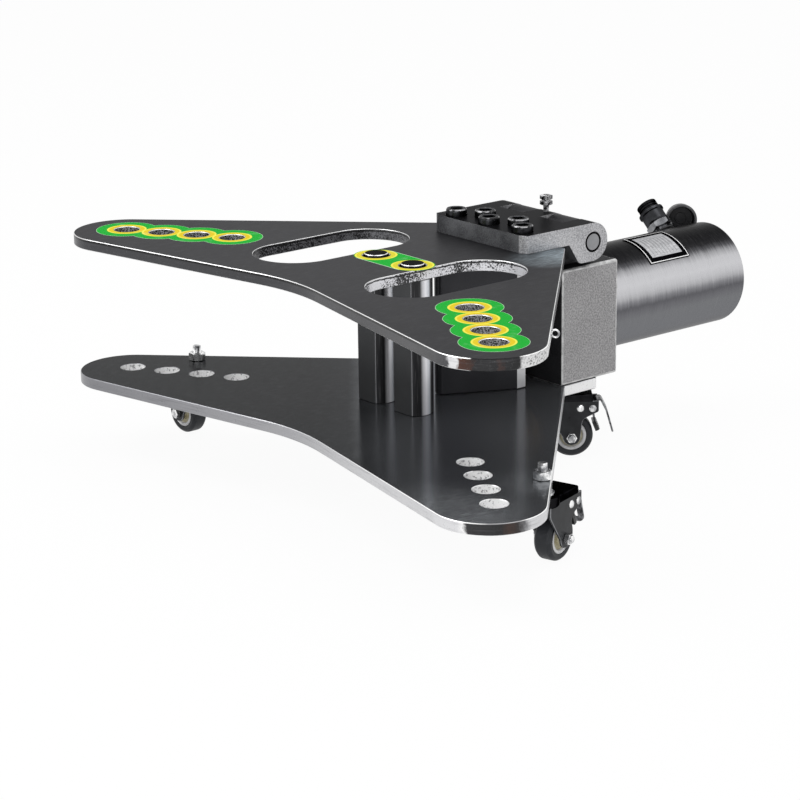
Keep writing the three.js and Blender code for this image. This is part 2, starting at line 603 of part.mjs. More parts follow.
// The hinge leaf: a thick plate that ends in three ears round the pin
function hingeLeaf() {
  const base = UPPER_TOP_Z + SEAT_GAP;
  const radius = LEAF_TOP_Z - HINGE_Z;
  const upright = Math.PI / 2;
  const outline = [
    ...roundedPoints([
      [LEAF_FRONT_Y, LEAF_TOP_Z, 0],
      [LEAF_FRONT_Y, base, 0],
      [HINGE_Y - LEAF_EAR_REACH, base, 0],
      [HINGE_Y - LEAF_EAR_TOE_REACH, HINGE_Z - radius, LEAF_EAR_TOE_RADIUS],
      [HINGE_Y, HINGE_Z - radius, 0],
    ]).slice(0, -1),
    ...arcPoints(HINGE_Y, HINGE_Z, radius, -upright, upright),
  ];
  const body = alongX(prism(outline, LEAF_WIDTH, -LEAF_WIDTH / 2));
  const slotFront = HINGE_Y - radius - KNUCKLE_SWING_GAP;
  const slotWidth = KNUCKLE_WIDTH + 2 * KNUCKLE_SIDE_GAP;
  const slotLength = 2 * (radius + OVERRUN) + KNUCKLE_SWING_GAP;
  const slotHeight = 2 * (radius + OVERRUN);
  const knuckleSlots = [KNUCKLE_X, -KNUCKLE_X].map((x) => {
    const slot = new THREE.BoxGeometry(slotWidth, slotLength, slotHeight);
    return slot.translate(x, slotFront + slotLength / 2, HINGE_Z);
  });
  const boreLength = LEAF_WIDTH + 2 * OVERRUN;
  const pinBore = alongX(bar(HINGE_BORE_RADIUS, boreLength, -boreLength / 2));
  pinBore.translate(0, HINGE_Y, HINGE_Z);
  const sinks = screwPlaces().map(({ x, y }) =>
    turned([
      [0, base - OVERRUN],
      [SCREW_SHANK_RADIUS + SEAT_GAP, base - OVERRUN],
      [SCREW_SHANK_RADIUS + SEAT_GAP, LEAF_TOP_Z - SCREW_SUNK],
      [SCREW_HEAD_RADIUS + 2 * SEAT_GAP, LEAF_TOP_Z - SCREW_SUNK],
      [SCREW_HEAD_RADIUS + 2 * SEAT_GAP, LEAF_TOP_Z + OVERRUN],
      [0, LEAF_TOP_Z + OVERRUN],
    ]).translate(x, y, 0),
  );
  const lockHole = bar(LOCK_SHANK_RADIUS + RUNNING_GAP, radius + OVERRUN, HINGE_Z);
  lockHole.translate(0, HINGE_Y, 0);
  const [half, cutEndY] = [LEAF_WIDTH / 2, LEAF_FRONT_Y + LEAF_CORNER_CUT_Y];
  const corner = [
    [half - LEAF_CORNER_CUT_X, LEAF_FRONT_Y - OVERRUN],
    [half + OVERRUN, LEAF_FRONT_Y - OVERRUN],
    [half + OVERRUN, cutEndY],
    [half, cutEndY],
    [half - LEAF_CORNER_CUT_X, LEAF_FRONT_Y],
  ];
  const cornerCuts = [1, -1].map((side) => {
    const points = corner.map(([x, y]) => new THREE.Vector2(side * x, y));
    return prism(points, LEAF_THICKNESS + 2 * OVERRUN, base - OVERRUN);
  });
  const leaf = cut(body, ...knuckleSlots, pinBore, ...sinks, lockHole, ...cornerCuts);
  return piece("hinge_leaf", leaf, FINISH.castSteel);
}

// One socket head screw of the leaf
function capScrew(index, { x, y }) {
  const head = LEAF_TOP_Z - SCREW_SUNK + SEAT_GAP;
  const end = UPPER_BOTTOM_Z + SCREW_END_GAP;
  const blank = turned([
    [0, end],
    [SCREW_SHANK_RADIUS, end],
    [SCREW_SHANK_RADIUS, head],
    [SCREW_HEAD_RADIUS, head],
    [SCREW_HEAD_RADIUS, head + SCREW_HEAD_HEIGHT - SCREW_HEAD_CHAMFER],
    [SCREW_HEAD_RADIUS - SCREW_HEAD_CHAMFER, head + SCREW_HEAD_HEIGHT],
    [0, head + SCREW_HEAD_HEIGHT],
  ]);
  const top = head + SCREW_HEAD_HEIGHT;
  const socket = hexBar(SCREW_SOCKET_FLATS, SCREW_SOCKET_DEPTH + OVERRUN, top - SCREW_SOCKET_DEPTH);
  return piece("cap_screw_" + index, cut(blank, socket).translate(x, y, 0), FINISH.blackSteel);
}

// The cross pin, flush with the outer ears
function hingePin() {
  const end = LEAF_WIDTH / 2;
  const pin = turned([
    [0, -end],
    [HINGE_PIN_RADIUS - HINGE_PIN_CHAMFER, -end],
    [HINGE_PIN_RADIUS, HINGE_PIN_CHAMFER - end],
    [HINGE_PIN_RADIUS, end - HINGE_PIN_CHAMFER],
    [HINGE_PIN_RADIUS - HINGE_PIN_CHAMFER, end],
    [0, end],
  ]);
  return piece("hinge_pin", alongX(pin).translate(0, HINGE_Y, HINGE_Z), FINISH.zinc);
}

// The knurled screw that bears on the pin through the middle ear
function hingeLockScrew() {
  const tip = HINGE_Z + HINGE_PIN_RADIUS + SEAT_GAP;
  const neck = LEAF_TOP_Z + LOCK_NECK_LENGTH;
  const top = neck + LOCK_HEAD_LENGTH;
  const blank = turned(
    [
      [0, tip],
      [LOCK_SHANK_RADIUS, tip],
      [LOCK_SHANK_RADIUS, LEAF_TOP_Z + SEAT_GAP],
      [LOCK_NECK_RADIUS, LEAF_TOP_Z + SEAT_GAP],
      [LOCK_NECK_RADIUS, neck],
      [LOCK_HEAD_RADIUS - LOCK_HEAD_CHAMFER, neck],
      [LOCK_HEAD_RADIUS, neck + LOCK_HEAD_CHAMFER],
      [LOCK_HEAD_RADIUS, top - LOCK_HEAD_CHAMFER],
      [LOCK_HEAD_RADIUS - LOCK_HEAD_CHAMFER, top],
      [0, top],
    ],
    LOCK_HEAD_RADIUS,
  );
  const slotHeight = LOCK_SLOT_DEPTH + OVERRUN;
  const slot = new THREE.BoxGeometry(2 * (LOCK_HEAD_RADIUS + OVERRUN), LOCK_SLOT_WIDTH, slotHeight);
  slot.translate(0, 0, top + OVERRUN - slotHeight / 2);
  return piece("hinge_lock_screw", cut(blank, slot).translate(0, HINGE_Y, 0), FINISH.zinc);
}

// A fixed knuckle that stands on the head block between two ears
function hingeKnuckle(name, side) {
  const radius = LEAF_TOP_Z - KNUCKLE_DROP - HINGE_Z;
  const half = KNUCKLE_FOOT_WIDTH / 2;
  const foot = HEAD_TOP_Z + SEAT_GAP;
  const outline = [
    new THREE.Vector2(HINGE_Y - half, foot),
    new THREE.Vector2(HINGE_Y + half, foot),
    ...arcPoints(HINGE_Y, HINGE_Z, radius, 0, Math.PI),
  ];
  const bore = circlePoints(HINGE_Y, HINGE_Z, HINGE_BORE_RADIUS);
  const body = prism(outline, KNUCKLE_WIDTH, side * KNUCKLE_X - KNUCKLE_WIDTH / 2, [bore]);
  return piece(name, alongX(body), FINISH.castSteel);
}

// The cast head: rounded on every edge, bored through for the rod bush and the barrel's spigot
function headBlock() {
  const radius = HEAD_EDGE_RADIUS - HEAD_BEVEL;
  const outline = roundedPoints([
    [HEAD_FRONT_Y + HEAD_BEVEL, HEAD_BASE_Z + HEAD_BEVEL, radius],
    [HEAD_REAR_Y - HEAD_BEVEL, HEAD_BASE_Z + HEAD_BEVEL, radius],
    [HEAD_REAR_Y - HEAD_BEVEL, HEAD_TOP_Z - HEAD_BEVEL, radius],
    [HEAD_FRONT_Y + HEAD_BEVEL, HEAD_TOP_Z - HEAD_BEVEL, radius],
  ]);
  const body = new THREE.ExtrudeGeometry(new THREE.Shape(outline), {
    depth: HEAD_WIDTH - 2 * HEAD_BEVEL,
    bevelSize: HEAD_BEVEL,
    bevelThickness: HEAD_BEVEL,
    bevelSegments: 2,
    steps: 1,
  }).translate(0, 0, HEAD_BEVEL - HEAD_WIDTH / 2);
  const rodBore = alongY(bar(BUSH_RADIUS + SEAT_GAP, HEAD_DEPTH + 2 * OVERRUN, HEAD_FRONT_Y - OVERRUN));
  const seat = alongY(bar(SPIGOT_RADIUS + SEAT_GAP, SPIGOT_DEPTH + OVERRUN, SPIGOT_SEAT_Y));
  rodBore.translate(0, 0, AXIS_Z);
  seat.translate(0, 0, AXIS_Z);
  return piece("head_block", cut(alongX(body), rodBore, seat), FINISH.castSteel);
}

// Bronze bush with a flange on the head's front face, in which the rod slides
function rodBush() {
  const inner = ROD_RADIUS + RUNNING_GAP;
  const flange = BUSH_RADIUS + BUSH_FLANGE_RIM;
  const bush = turned([
    [inner, BUSH_FRONT_Y],
    [flange, BUSH_FRONT_Y],
    [flange, BUSH_FRONT_Y + BUSH_FLANGE_THICKNESS],
    [BUSH_RADIUS, BUSH_FRONT_Y + BUSH_FLANGE_THICKNESS],
    [BUSH_RADIUS, SPIGOT_SEAT_Y - BUSH_END_GAP],
    [inner, SPIGOT_SEAT_Y - BUSH_END_GAP],
    [inner, BUSH_FRONT_Y],
  ]);
  return piece("rod_bush", alongY(bush).translate(0, 0, AXIS_Z), FINISH.bronze);
}

// The cylinder tube, its spigot in the head block, with the oil port near its rear end
function cylinderBarrel() {
  const front = HEAD_REAR_Y + SEAT_GAP;
  const body = turned([
    [BARREL_BORE_RADIUS, SPIGOT_SEAT_Y + SEAT_GAP],
    [SPIGOT_RADIUS, SPIGOT_SEAT_Y + SEAT_GAP],
    [SPIGOT_RADIUS, front],
    [BARREL_RADIUS, front],
    [BARREL_RADIUS, BARREL_REAR_Y - BARREL_EDGE_CHAMFER],
    [BARREL_RADIUS - BARREL_EDGE_CHAMFER, BARREL_REAR_Y],
    [BARREL_BORE_RADIUS, BARREL_REAR_Y],
    [BARREL_BORE_RADIUS, SPIGOT_SEAT_Y + SEAT_GAP],
  ]);
  const port = bar(PORT_STUD_RADIUS + SEAT_GAP, BARREL_RADIUS)
    .translate(0, 0, BARREL_BORE_RADIUS / 2)
    .rotateY(-PORT_ANGLE)
    .translate(0, PORT_Y, 0);
  const barrel = cut(alongY(body), port).translate(0, 0, AXIS_Z);
  return piece("cylinder_barrel", barrel, FINISH.brushedSteel);
}

// The screwed end plug, with two blind holes for its spanner
function cylinderEndPlug() {
  const radius = BARREL_BORE_RADIUS - SEAT_GAP;
  const disc = bar(radius, PLUG_THICKNESS, PLUG_REAR_Y - PLUG_THICKNESS);
  const holes = [PLUG_HOLE_X, -PLUG_HOLE_X].map((x) => {
    const hole = bar(PLUG_HOLE_RADIUS, PLUG_HOLE_DEPTH + OVERRUN, PLUG_REAR_Y - PLUG_HOLE_DEPTH);
    return hole.translate(x, 0, 0);
  });
  const plug = alongY(cut(disc, ...holes)).translate(0, 0, AXIS_Z);
  return piece("cylinder_end_plug", plug, FINISH.blackSteel);
}

// The piston, grooved for its seal and bored for the rod's tail
function piston() {
  const radius = BARREL_BORE_RADIUS - PISTON_SIDE_GAP;
  const inner = ROD_TAIL_RADIUS + SEAT_GAP;
  const groove = PISTON_FRONT_Y + (PISTON_LENGTH - SEAL_WIDTH) / 2;
  const body = turned([
    [inner, PISTON_FRONT_Y],
    [radius, PISTON_FRONT_Y],
    [radius, groove],
    [radius - SEAL_DEPTH, groove],
    [radius - SEAL_DEPTH, groove + SEAL_WIDTH],
    [radius, groove + SEAL_WIDTH],
    [radius, PISTON_REAR_Y],
    [inner, PISTON_REAR_Y],
    [inner, PISTON_FRONT_Y],
  ]);
  return piece("piston", alongY(body).translate(0, 0, AXIS_Z), FINISH.brushedSteel);
}

// The seal in the piston's groove
function pistonSeal() {
  const width = SEAL_WIDTH - 2 * SEAT_GAP;
  const base = PISTON_FRONT_Y + (PISTON_LENGTH - width) / 2;
  const inner = BARREL_BORE_RADIUS - PISTON_SIDE_GAP - SEAL_DEPTH + SEAT_GAP;
  const ring = tube(BARREL_BORE_RADIUS - RUNNING_GAP, inner, width, base);
  return piece("piston_seal", alongY(ring).translate(0, 0, AXIS_Z), FINISH.nitrile);
}

// The rod, from its tenon in the punch to its tail in the piston
function pistonRod() {
  const shoulder = PUNCH_REAR_Y + SEAT_GAP;
  const tail = PISTON_FRONT_Y - SEAT_GAP;
  const rod = turned([
    [0, shoulder - ROD_TENON_LENGTH],
    [ROD_TENON_RADIUS, shoulder - ROD_TENON_LENGTH],
    [ROD_TENON_RADIUS, shoulder],
    [ROD_RADIUS, shoulder],
    [ROD_RADIUS, tail],
    [ROD_TAIL_RADIUS, tail],
    [ROD_TAIL_RADIUS, PISTON_REAR_Y],
    [0, PISTON_REAR_Y],
  ]);
  return piece("piston_rod", alongY(rod).translate(0, 0, AXIS_Z), FINISH.brushedSteel);
}

// The return spring, from the seat of the spigot to the piston, wound from a formula
class SpringCurve extends THREE.Curve {
  constructor(length) {
    super();
    this.length = length;
  }
  getPoint(t, target = new THREE.Vector3()) {
    const angle = 2 * Math.PI * SPRING_TURNS * t;
    return target.set(SPRING_RADIUS * Math.cos(angle), SPRING_RADIUS * Math.sin(angle), this.length * t);
  }
}

function returnSpring() {
  const wire = new THREE.Shape(polygonPoints(SPRING_WIRE_RADIUS, SPRING_WIRE_SIDES));
  const end = SPRING_WIRE_RADIUS + SEAT_GAP;
  const from = SPIGOT_SEAT_Y + end;
  const curve = new SpringCurve(PISTON_FRONT_Y - end - from);
  const spring = new THREE.ExtrudeGeometry(wire, {
    extrudePath: curve,
    steps: SPRING_TURNS * SPRING_TURN_STEPS,
    bevelEnabled: false,
  });
  spring.translate(0, 0, from);
  return piece("return_spring", alongY(spring).translate(0, 0, AXIS_Z), FINISH.springSteel);
}

// The wedge punch: a rounded nose and two flanks, its rear bored for the rod's tenon
function punch() {
  const apexY = PUNCH_SHOULDER_Y - PUNCH_HALF_WIDTH / Math.tan(PUNCH_FLANK_ANGLE);
  const outline = roundedPoints([
    [0, apexY, PUNCH_NOSE_RADIUS],
    [PUNCH_HALF_WIDTH, PUNCH_SHOULDER_Y, 0],
    [PUNCH_HALF_WIDTH, PUNCH_REAR_Y, 0],
    [-PUNCH_HALF_WIDTH, PUNCH_REAR_Y, 0],
    [-PUNCH_HALF_WIDTH, PUNCH_SHOULDER_Y, 0],
  ]);
  const base = LOWER_TOP_Z + PUNCH_PLATE_GAP;
  const body = prism(outline, PLATE_CLEAR_HEIGHT - 2 * PUNCH_PLATE_GAP, base);
  const depth = ROD_TENON_LENGTH + SEAT_GAP;
  const socket = alongY(bar(ROD_TENON_RADIUS + SEAT_GAP, depth + OVERRUN, PUNCH_REAR_Y - depth));
  return piece("punch", cut(body, socket.translate(0, 0, AXIS_Z)), FINISH.blackSteel);
}

// A bending post: a D-section bar with a pin at each end
function post(name, side) {
  const base = LOWER_TOP_Z + SEAT_GAP;
  const top = UPPER_BOTTOM_Z - SEAT_GAP;
  const lowerPin = WING_HOLE_RADIUS - RUNNING_GAP;
  const upperPin = WING_HOLE_RADIUS - POST_PIN_CLEARANCE;
  const end = UPPER_TOP_Z + POST_PIN_PROUD;
  const blank = turned(
    [
      [0, CASTER_HEIGHT + SEAT_GAP],
      [lowerPin, CASTER_HEIGHT + SEAT_GAP],
      [lowerPin, base],
      [POST_RADIUS, base],
      [POST_RADIUS, top],
      [upperPin, top],
      [upperPin, end - POST_PIN_CHAMFER],
      [upperPin - POST_PIN_CHAMFER, end],
      [0, end],
    ],
    POST_RADIUS,
  );
  const deep = POST_RADIUS - POST_FLAT_DISTANCE + OVERRUN;
  const flat = new THREE.BoxGeometry(2 * (POST_RADIUS + OVERRUN), deep, top - base).translate(
    0,
    -POST_FLAT_DISTANCE - deep / 2,
    (base + top) / 2,
  );
  return piece(name, cut(blank, flat).translate(side * POST_X, POST_Y, 0), FINISH.brushedSteel);
}

// The curved plate on the barrel, left bare
function namePlate() {
  const inner = BARREL_RADIUS + SEAT_GAP;
  const outer = inner + NAME_PLATE_THICKNESS;
  const upright = Math.PI / 2;
  const outline = [
    ...arcPoints(0, 0, outer, upright - NAME_PLATE_TO, upright - NAME_PLATE_FROM),
    ...arcPoints(0, 0, inner, upright - NAME_PLATE_FROM, upright - NAME_PLATE_TO),
  ];
  const plate = prism(outline, NAME_PLATE_LENGTH)
    .rotateX(Math.PI / 2)
    .translate(0, NAME_PLATE_FRONT_Y + NAME_PLATE_LENGTH, AXIS_Z);
  return piece("name_plate", plate, FINISH.foil);
}

// The adapter in the port: stud, neck, hexagon and a spigot for the coupler
function portAdapter() {
  const shoulder = BARREL_RADIUS + PORT_SHOULDER_GAP;
  const hexTop = HEX_BASE + HEX_HEIGHT;
  const root = BARREL_RADIUS - PORT_STUD_INSET;
  const core = tube(PORT_STUD_RADIUS, PORT_BORE_RADIUS, hexTop - root, root);
  const neck = tube(PORT_NECK_RADIUS, PORT_BORE_RADIUS, HEX_BASE - shoulder, shoulder);
  const bore = bar(PORT_BORE_RADIUS, HEX_HEIGHT + 2 * OVERRUN, HEX_BASE - OVERRUN);
  const hex = cut(hexBar(HEX_FLATS, HEX_HEIGHT, HEX_BASE), bore);
  const spigot = tube(CORE_RADIUS, PORT_BORE_RADIUS, CORE_OVERLAP, hexTop);
  return piece("port_adapter", joined(core, neck, hex, spigot), FINISH.brushedSteel);
}

// The coupler's sleeve
function couplerSleeve() {
  const base = HEX_BASE + HEX_HEIGHT + SEAT_GAP;
  const top = base + SLEEVE_LENGTH;
  const inner = CORE_RADIUS + SEAT_GAP;
  const sleeve = turned([
    [inner, base],
    [SLEEVE_RADIUS, base],
    [SLEEVE_RADIUS, top - SLEEVE_FLANGE_LENGTH],
    [SLEEVE_FLANGE_RADIUS, top - SLEEVE_FLANGE_LENGTH],
    [SLEEVE_FLANGE_RADIUS, top],
    [inner, top],
    [inner, base],
  ]);
  return piece("coupler_sleeve", sleeve, FINISH.blackSteel);
}

// The coupler's grooved nose, open at its mouth
function couplerNose() {
  const root = HEX_BASE + HEX_HEIGHT + CORE_OVERLAP + SEAT_GAP;
  const shoulder = HEX_BASE + HEX_HEIGHT + SLEEVE_LENGTH + 2 * SEAT_GAP;
  const top = shoulder + NOSE_LENGTH;
  const valley = NOSE_RADIUS - NOSE_GROOVE_DEPTH;
  const first = shoulder + NOSE_GROOVE_WIDTH;
  const second = first + 2 * NOSE_GROOVE_WIDTH;
  const nose = turned([
    [0, root],
    [CORE_RADIUS, root],
    [CORE_RADIUS, shoulder],
    [NOSE_RADIUS, shoulder],
    [NOSE_RADIUS, first],
    [valley, first],
    [valley, first + NOSE_GROOVE_WIDTH],
    [NOSE_RADIUS, first + NOSE_GROOVE_WIDTH],
    [NOSE_RADIUS, second],
    [valley, second],
    [valley, second + NOSE_GROOVE_WIDTH],
    [NOSE_RADIUS, second + NOSE_GROOVE_WIDTH],
    [NOSE_RADIUS, top - NOSE_CHAMFER],
    [NOSE_RADIUS - NOSE_CHAMFER, top],
    [NOSE_BORE_RADIUS, top],
    [NOSE_BORE_RADIUS, top - NOSE_BORE_DEPTH],
    [0, top - NOSE_BORE_DEPTH],
  ]);
  return piece("coupler_nose", nose, FINISH.blackSteel);
}

// The rubber dust cap: a cup on a strap, whose ring turns on the adapter's neck
function dustCap() {
  const ringBase = STRAP_HEIGHT - STRAP_THICKNESS / 2;
  const ring = tube(STRAP_RING_RADIUS, PORT_NECK_RADIUS + RUNNING_GAP, STRAP_THICKNESS, ringBase);
  const inner = CAP_RADIUS - CAP_WALL;
  const cup = turned([
    [0, -CAP_DEPTH],
    [CAP_RADIUS, -CAP_DEPTH],
    [CAP_RADIUS, 0],
    [inner, 0],
    [inner, CAP_FLOOR - CAP_DEPTH],
    [0, CAP_FLOOR - CAP_DEPTH],
  ]);
  cup.rotateY(CAP_LEAN).rotateZ(CAP_TURN).translate(CAP_OFFSET_X, CAP_OFFSET_Y, CAP_HEIGHT);
  const rim = new THREE.Vector3(0, CAP_WALL / 2 - CAP_RADIUS, -CAP_WALL)
    .applyEuler(new THREE.Euler(0, CAP_LEAN, 0))
    .applyAxisAngle(new THREE.Vector3(0, 0, 1), CAP_TURN)
    .add(new THREE.Vector3(CAP_OFFSET_X, CAP_OFFSET_Y, CAP_HEIGHT));
  const path = new THREE.QuadraticBezierCurve3(
    new THREE.Vector3(0, STRAP_RING_RADIUS - STRAP_THICKNESS, STRAP_HEIGHT),
    new THREE.Vector3(0, STRAP_RING_RADIUS + STRAP_THICKNESS, STRAP_HEIGHT),
    rim,
  );
  const section = [
    [-STRAP_WIDTH / 2, -STRAP_THICKNESS / 2],
    [STRAP_WIDTH / 2, -STRAP_THICKNESS / 2],
    [STRAP_WIDTH / 2, STRAP_THICKNESS / 2],
    [-STRAP_WIDTH / 2, STRAP_THICKNESS / 2],
  ].map(([x, y]) => new THREE.Vector2(x, y));
  const strap = new THREE.ExtrudeGeometry(new THREE.Shape(section), {
    extrudePath: path,
    steps: 6,
    bevelEnabled: false,
  });
  return piece("dust_cap", joined(ring, cup, strap), FINISH.rubber);
}

// The port's pieces stand in a group turned to the port's angle
function portGroup() {
  const group = new THREE.Group();
  group.position.set(0, PORT_Y, AXIS_Z);
  group.rotation.y = -PORT_ANGLE;
  group.add(portAdapter(), couplerSleeve(), couplerNose(), dustCap());
  return group;
}

// The stem: a stud through the plate, a collar under it and the kingpin that carries the fork
function casterStem(name, nutted) {
  const stud = nutted ? LOWER_TOP_Z + NUT_HEIGHT + STEM_PROUD : LOWER_TOP_Z - SEAT_GAP;
  const collarTop = CASTER_HEIGHT - SEAT_GAP;
  const headTop = FORK_CAP_BASE_Z - RUNNING_GAP;
  const stem = turned(
    [
      [0, headTop - KINGPIN_HEAD_THICKNESS],
      [KINGPIN_HEAD_RADIUS, headTop - KINGPIN_HEAD_THICKNESS],
      [KINGPIN_HEAD_RADIUS, headTop],
      [KINGPIN_RADIUS, headTop],
      [KINGPIN_RADIUS, STEM_COLLAR_Z],
      [STEM_COLLAR_RADIUS, STEM_COLLAR_Z],
      [STEM_COLLAR_RADIUS, collarTop],
      [STEM_RADIUS, collarTop],
      [STEM_RADIUS, stud],
      [0, stud],
    ],
    KINGPIN_RADIUS,
  );
  return piece("stem_" + name, stem, FINISH.zinc);
}

function casterNut(name) {
  const base = LOWER_TOP_Z + SEAT_GAP;
  const bore = bar(STEM_RADIUS + SEAT_GAP, NUT_HEIGHT + 2 * OVERRUN, base - OVERRUN);
  return piece("caster_nut_" + name, cut(hexBar(NUT_FLATS, NUT_HEIGHT, base), bore), FINISH.zinc);
}

// The fork: a cap round the kingpin and two pressed legs down to the axle
function casterFork(name) {
  const capBase = FORK_CAP_BASE_Z;
  const round = FORK_OUTER_HALF + FORK_CAP_OVERHANG;
  const start = Math.asin(FORK_OUTER_HALF / round);
  const outline = [
    new THREE.Vector2(FORK_CAP_REACH, -FORK_OUTER_HALF),
    new THREE.Vector2(FORK_CAP_REACH, FORK_OUTER_HALF),
    ...arcPoints(0, 0, round, start, 2 * Math.PI - start),
  ];
  const hole = circlePoints(0, 0, KINGPIN_RADIUS + RUNNING_GAP);
  const cap = prism(outline, FORK_CAP_THICKNESS, capBase, [hole]);
  const foot = arcPoints(WHEEL_TRAIL, WHEEL_RADIUS, FORK_FOOT_RADIUS, Math.PI, 2 * Math.PI);
  const profile = [
    ...foot,
    ...roundedPoints([
      [WHEEL_TRAIL + FORK_FOOT_RADIUS, WHEEL_RADIUS, 0],
      [WHEEL_TRAIL + FORK_WAIST_AHEAD, capBase - FORK_WAIST_DROP, FORK_LEG_ROUND],
      [FORK_CAP_REACH + FORK_TOE_AHEAD, capBase - FORK_LEG_DROP, FORK_LEG_ROUND],
      [FORK_CAP_REACH + FORK_TOE_AHEAD, capBase + FORK_LEG_ROUND, 0],
      [-FORK_HEEL_BACK, capBase + FORK_LEG_ROUND, 0],
      [-FORK_HEEL_BACK, capBase - FORK_LEG_DROP, FORK_LEG_ROUND],
      [WHEEL_TRAIL - FORK_FOOT_RADIUS, WHEEL_RADIUS, 0],
    ]).slice(1, -1),
  ];
  const holes = [
    circlePoints(WHEEL_TRAIL, WHEEL_RADIUS, AXLE_RADIUS + RUNNING_GAP),
    circlePoints(FORK_CAP_REACH, BRAKE_PIVOT_Z, BRAKE_PIN_RADIUS + RUNNING_GAP),
  ];
  const legs = [1, -1].map((side) => {
    const inner = side > 0 ? -FORK_OUTER_HALF : FORK_INNER_HALF;
    return prism(profile, FORK_LEG_THICKNESS, inner, holes).rotateX(Math.PI / 2);
  });
  return piece("fork_" + name, joined(cap, ...legs), FINISH.blackSteel);
}

// The axle bolt through both legs, its hexagon head on the left of the trail
function axleBolt(name) {
  const legOuter = FORK_OUTER_HALF + SEAT_GAP;
  const length = 2 * legOuter + AXLE_HEAD_HEIGHT / 2 + AXLE_NUT_HEIGHT + AXLE_END_PROUD;
  const shank = bar(AXLE_RADIUS, length, -legOuter - AXLE_HEAD_HEIGHT / 2);
  const head = hexBar(AXLE_HEAD_FLATS, AXLE_HEAD_HEIGHT, -legOuter - AXLE_HEAD_HEIGHT);
  const bolt = joined(shank, head).rotateX(Math.PI / 2).translate(WHEEL_TRAIL, 0, WHEEL_RADIUS);
  return piece("axle_bolt_" + name, bolt, FINISH.zinc);
}

function axleNut(name) {
  const base = FORK_OUTER_HALF + SEAT_GAP;
  const bore = bar(AXLE_RADIUS + SEAT_GAP, AXLE_NUT_HEIGHT + 2 * OVERRUN, base - OVERRUN);
  const nut = cut(hexBar(AXLE_HEAD_FLATS, AXLE_NUT_HEIGHT, base), bore);
  nut.rotateX(Math.PI / 2).translate(WHEEL_TRAIL, 0, WHEEL_RADIUS);
  return piece("axle_nut_" + name, nut, FINISH.zinc);
}

// Solid tyre with rounded shoulders
function tyre(name) {
  const inner = WHEEL_RADIUS - TYRE_THICKNESS;
  const half = WHEEL_WIDTH / 2;
  const shoulder = WHEEL_RADIUS - TYRE_SHOULDER;
  const tread = half - 2 * TYRE_SHOULDER;
  const ring = turned([
    [inner, -half],
    [shoulder, -half],
    [WHEEL_RADIUS, -tread],
    [WHEEL_RADIUS, tread],
    [shoulder, half],
    [inner, half],
    [inner, -half],
  ]);
  ring.rotateX(Math.PI / 2).translate(WHEEL_TRAIL, 0, WHEEL_RADIUS);
  return piece("tyre_" + name, ring, FINISH.rubber);
}

// Wheel core: a rim, a thin web and a boss that runs on the axle
function hub(name) {
  const outer = WHEEL_RADIUS - TYRE_THICKNESS - SEAT_GAP;
  const rim = outer - HUB_RIM;
  const rimHalf = (WHEEL_WIDTH - TYRE_SHOULDER) / 2;
  const webHalf = HUB_WEB_WIDTH / 2;
  const bossHalf = FORK_INNER_HALF - SEAT_GAP;
  const bore = AXLE_RADIUS + RUNNING_GAP;
  const core = turned(
    [
      [bore, -bossHalf],
      [HUB_BOSS_RADIUS, -bossHalf],
      [HUB_BOSS_RADIUS, -webHalf],
      [rim, -webHalf],
      [rim, -rimHalf],
      [outer, -rimHalf],
      [outer, rimHalf],
      [rim, rimHalf],
      [rim, webHalf],
      [HUB_BOSS_RADIUS, webHalf],
      [HUB_BOSS_RADIUS, bossHalf],
      [bore, bossHalf],
      [bore, -bossHalf],
    ],
    HUB_BOSS_RADIUS,
  );
  core.rotateX(Math.PI / 2).translate(WHEEL_TRAIL, 0, WHEEL_RADIUS);
  return piece("hub_" + name, core, FINISH.plastic);
}

// A straight run of the brake lever's sheet between two points [along, height]
function leverRun(from, to) {
  const ends = [new THREE.Vector2(...from), new THREE.Vector2(...to)];
  const run = ends[1].clone().sub(ends[0]).normalize();
  const side = new THREE.Vector2(-run.y, run.x).multiplyScalar(BRAKE_SHEET / 2);
  const [right, left] = [side.clone().negate(), side];
  const outline = [
    ends[0].clone().add(right),
    ends[1].clone().add(right),
    ends[1].clone().add(left),
    ends[0].clone().add(left),
  ];
  return prism(outline, BRAKE_WIDTH, -BRAKE_WIDTH / 2);
}

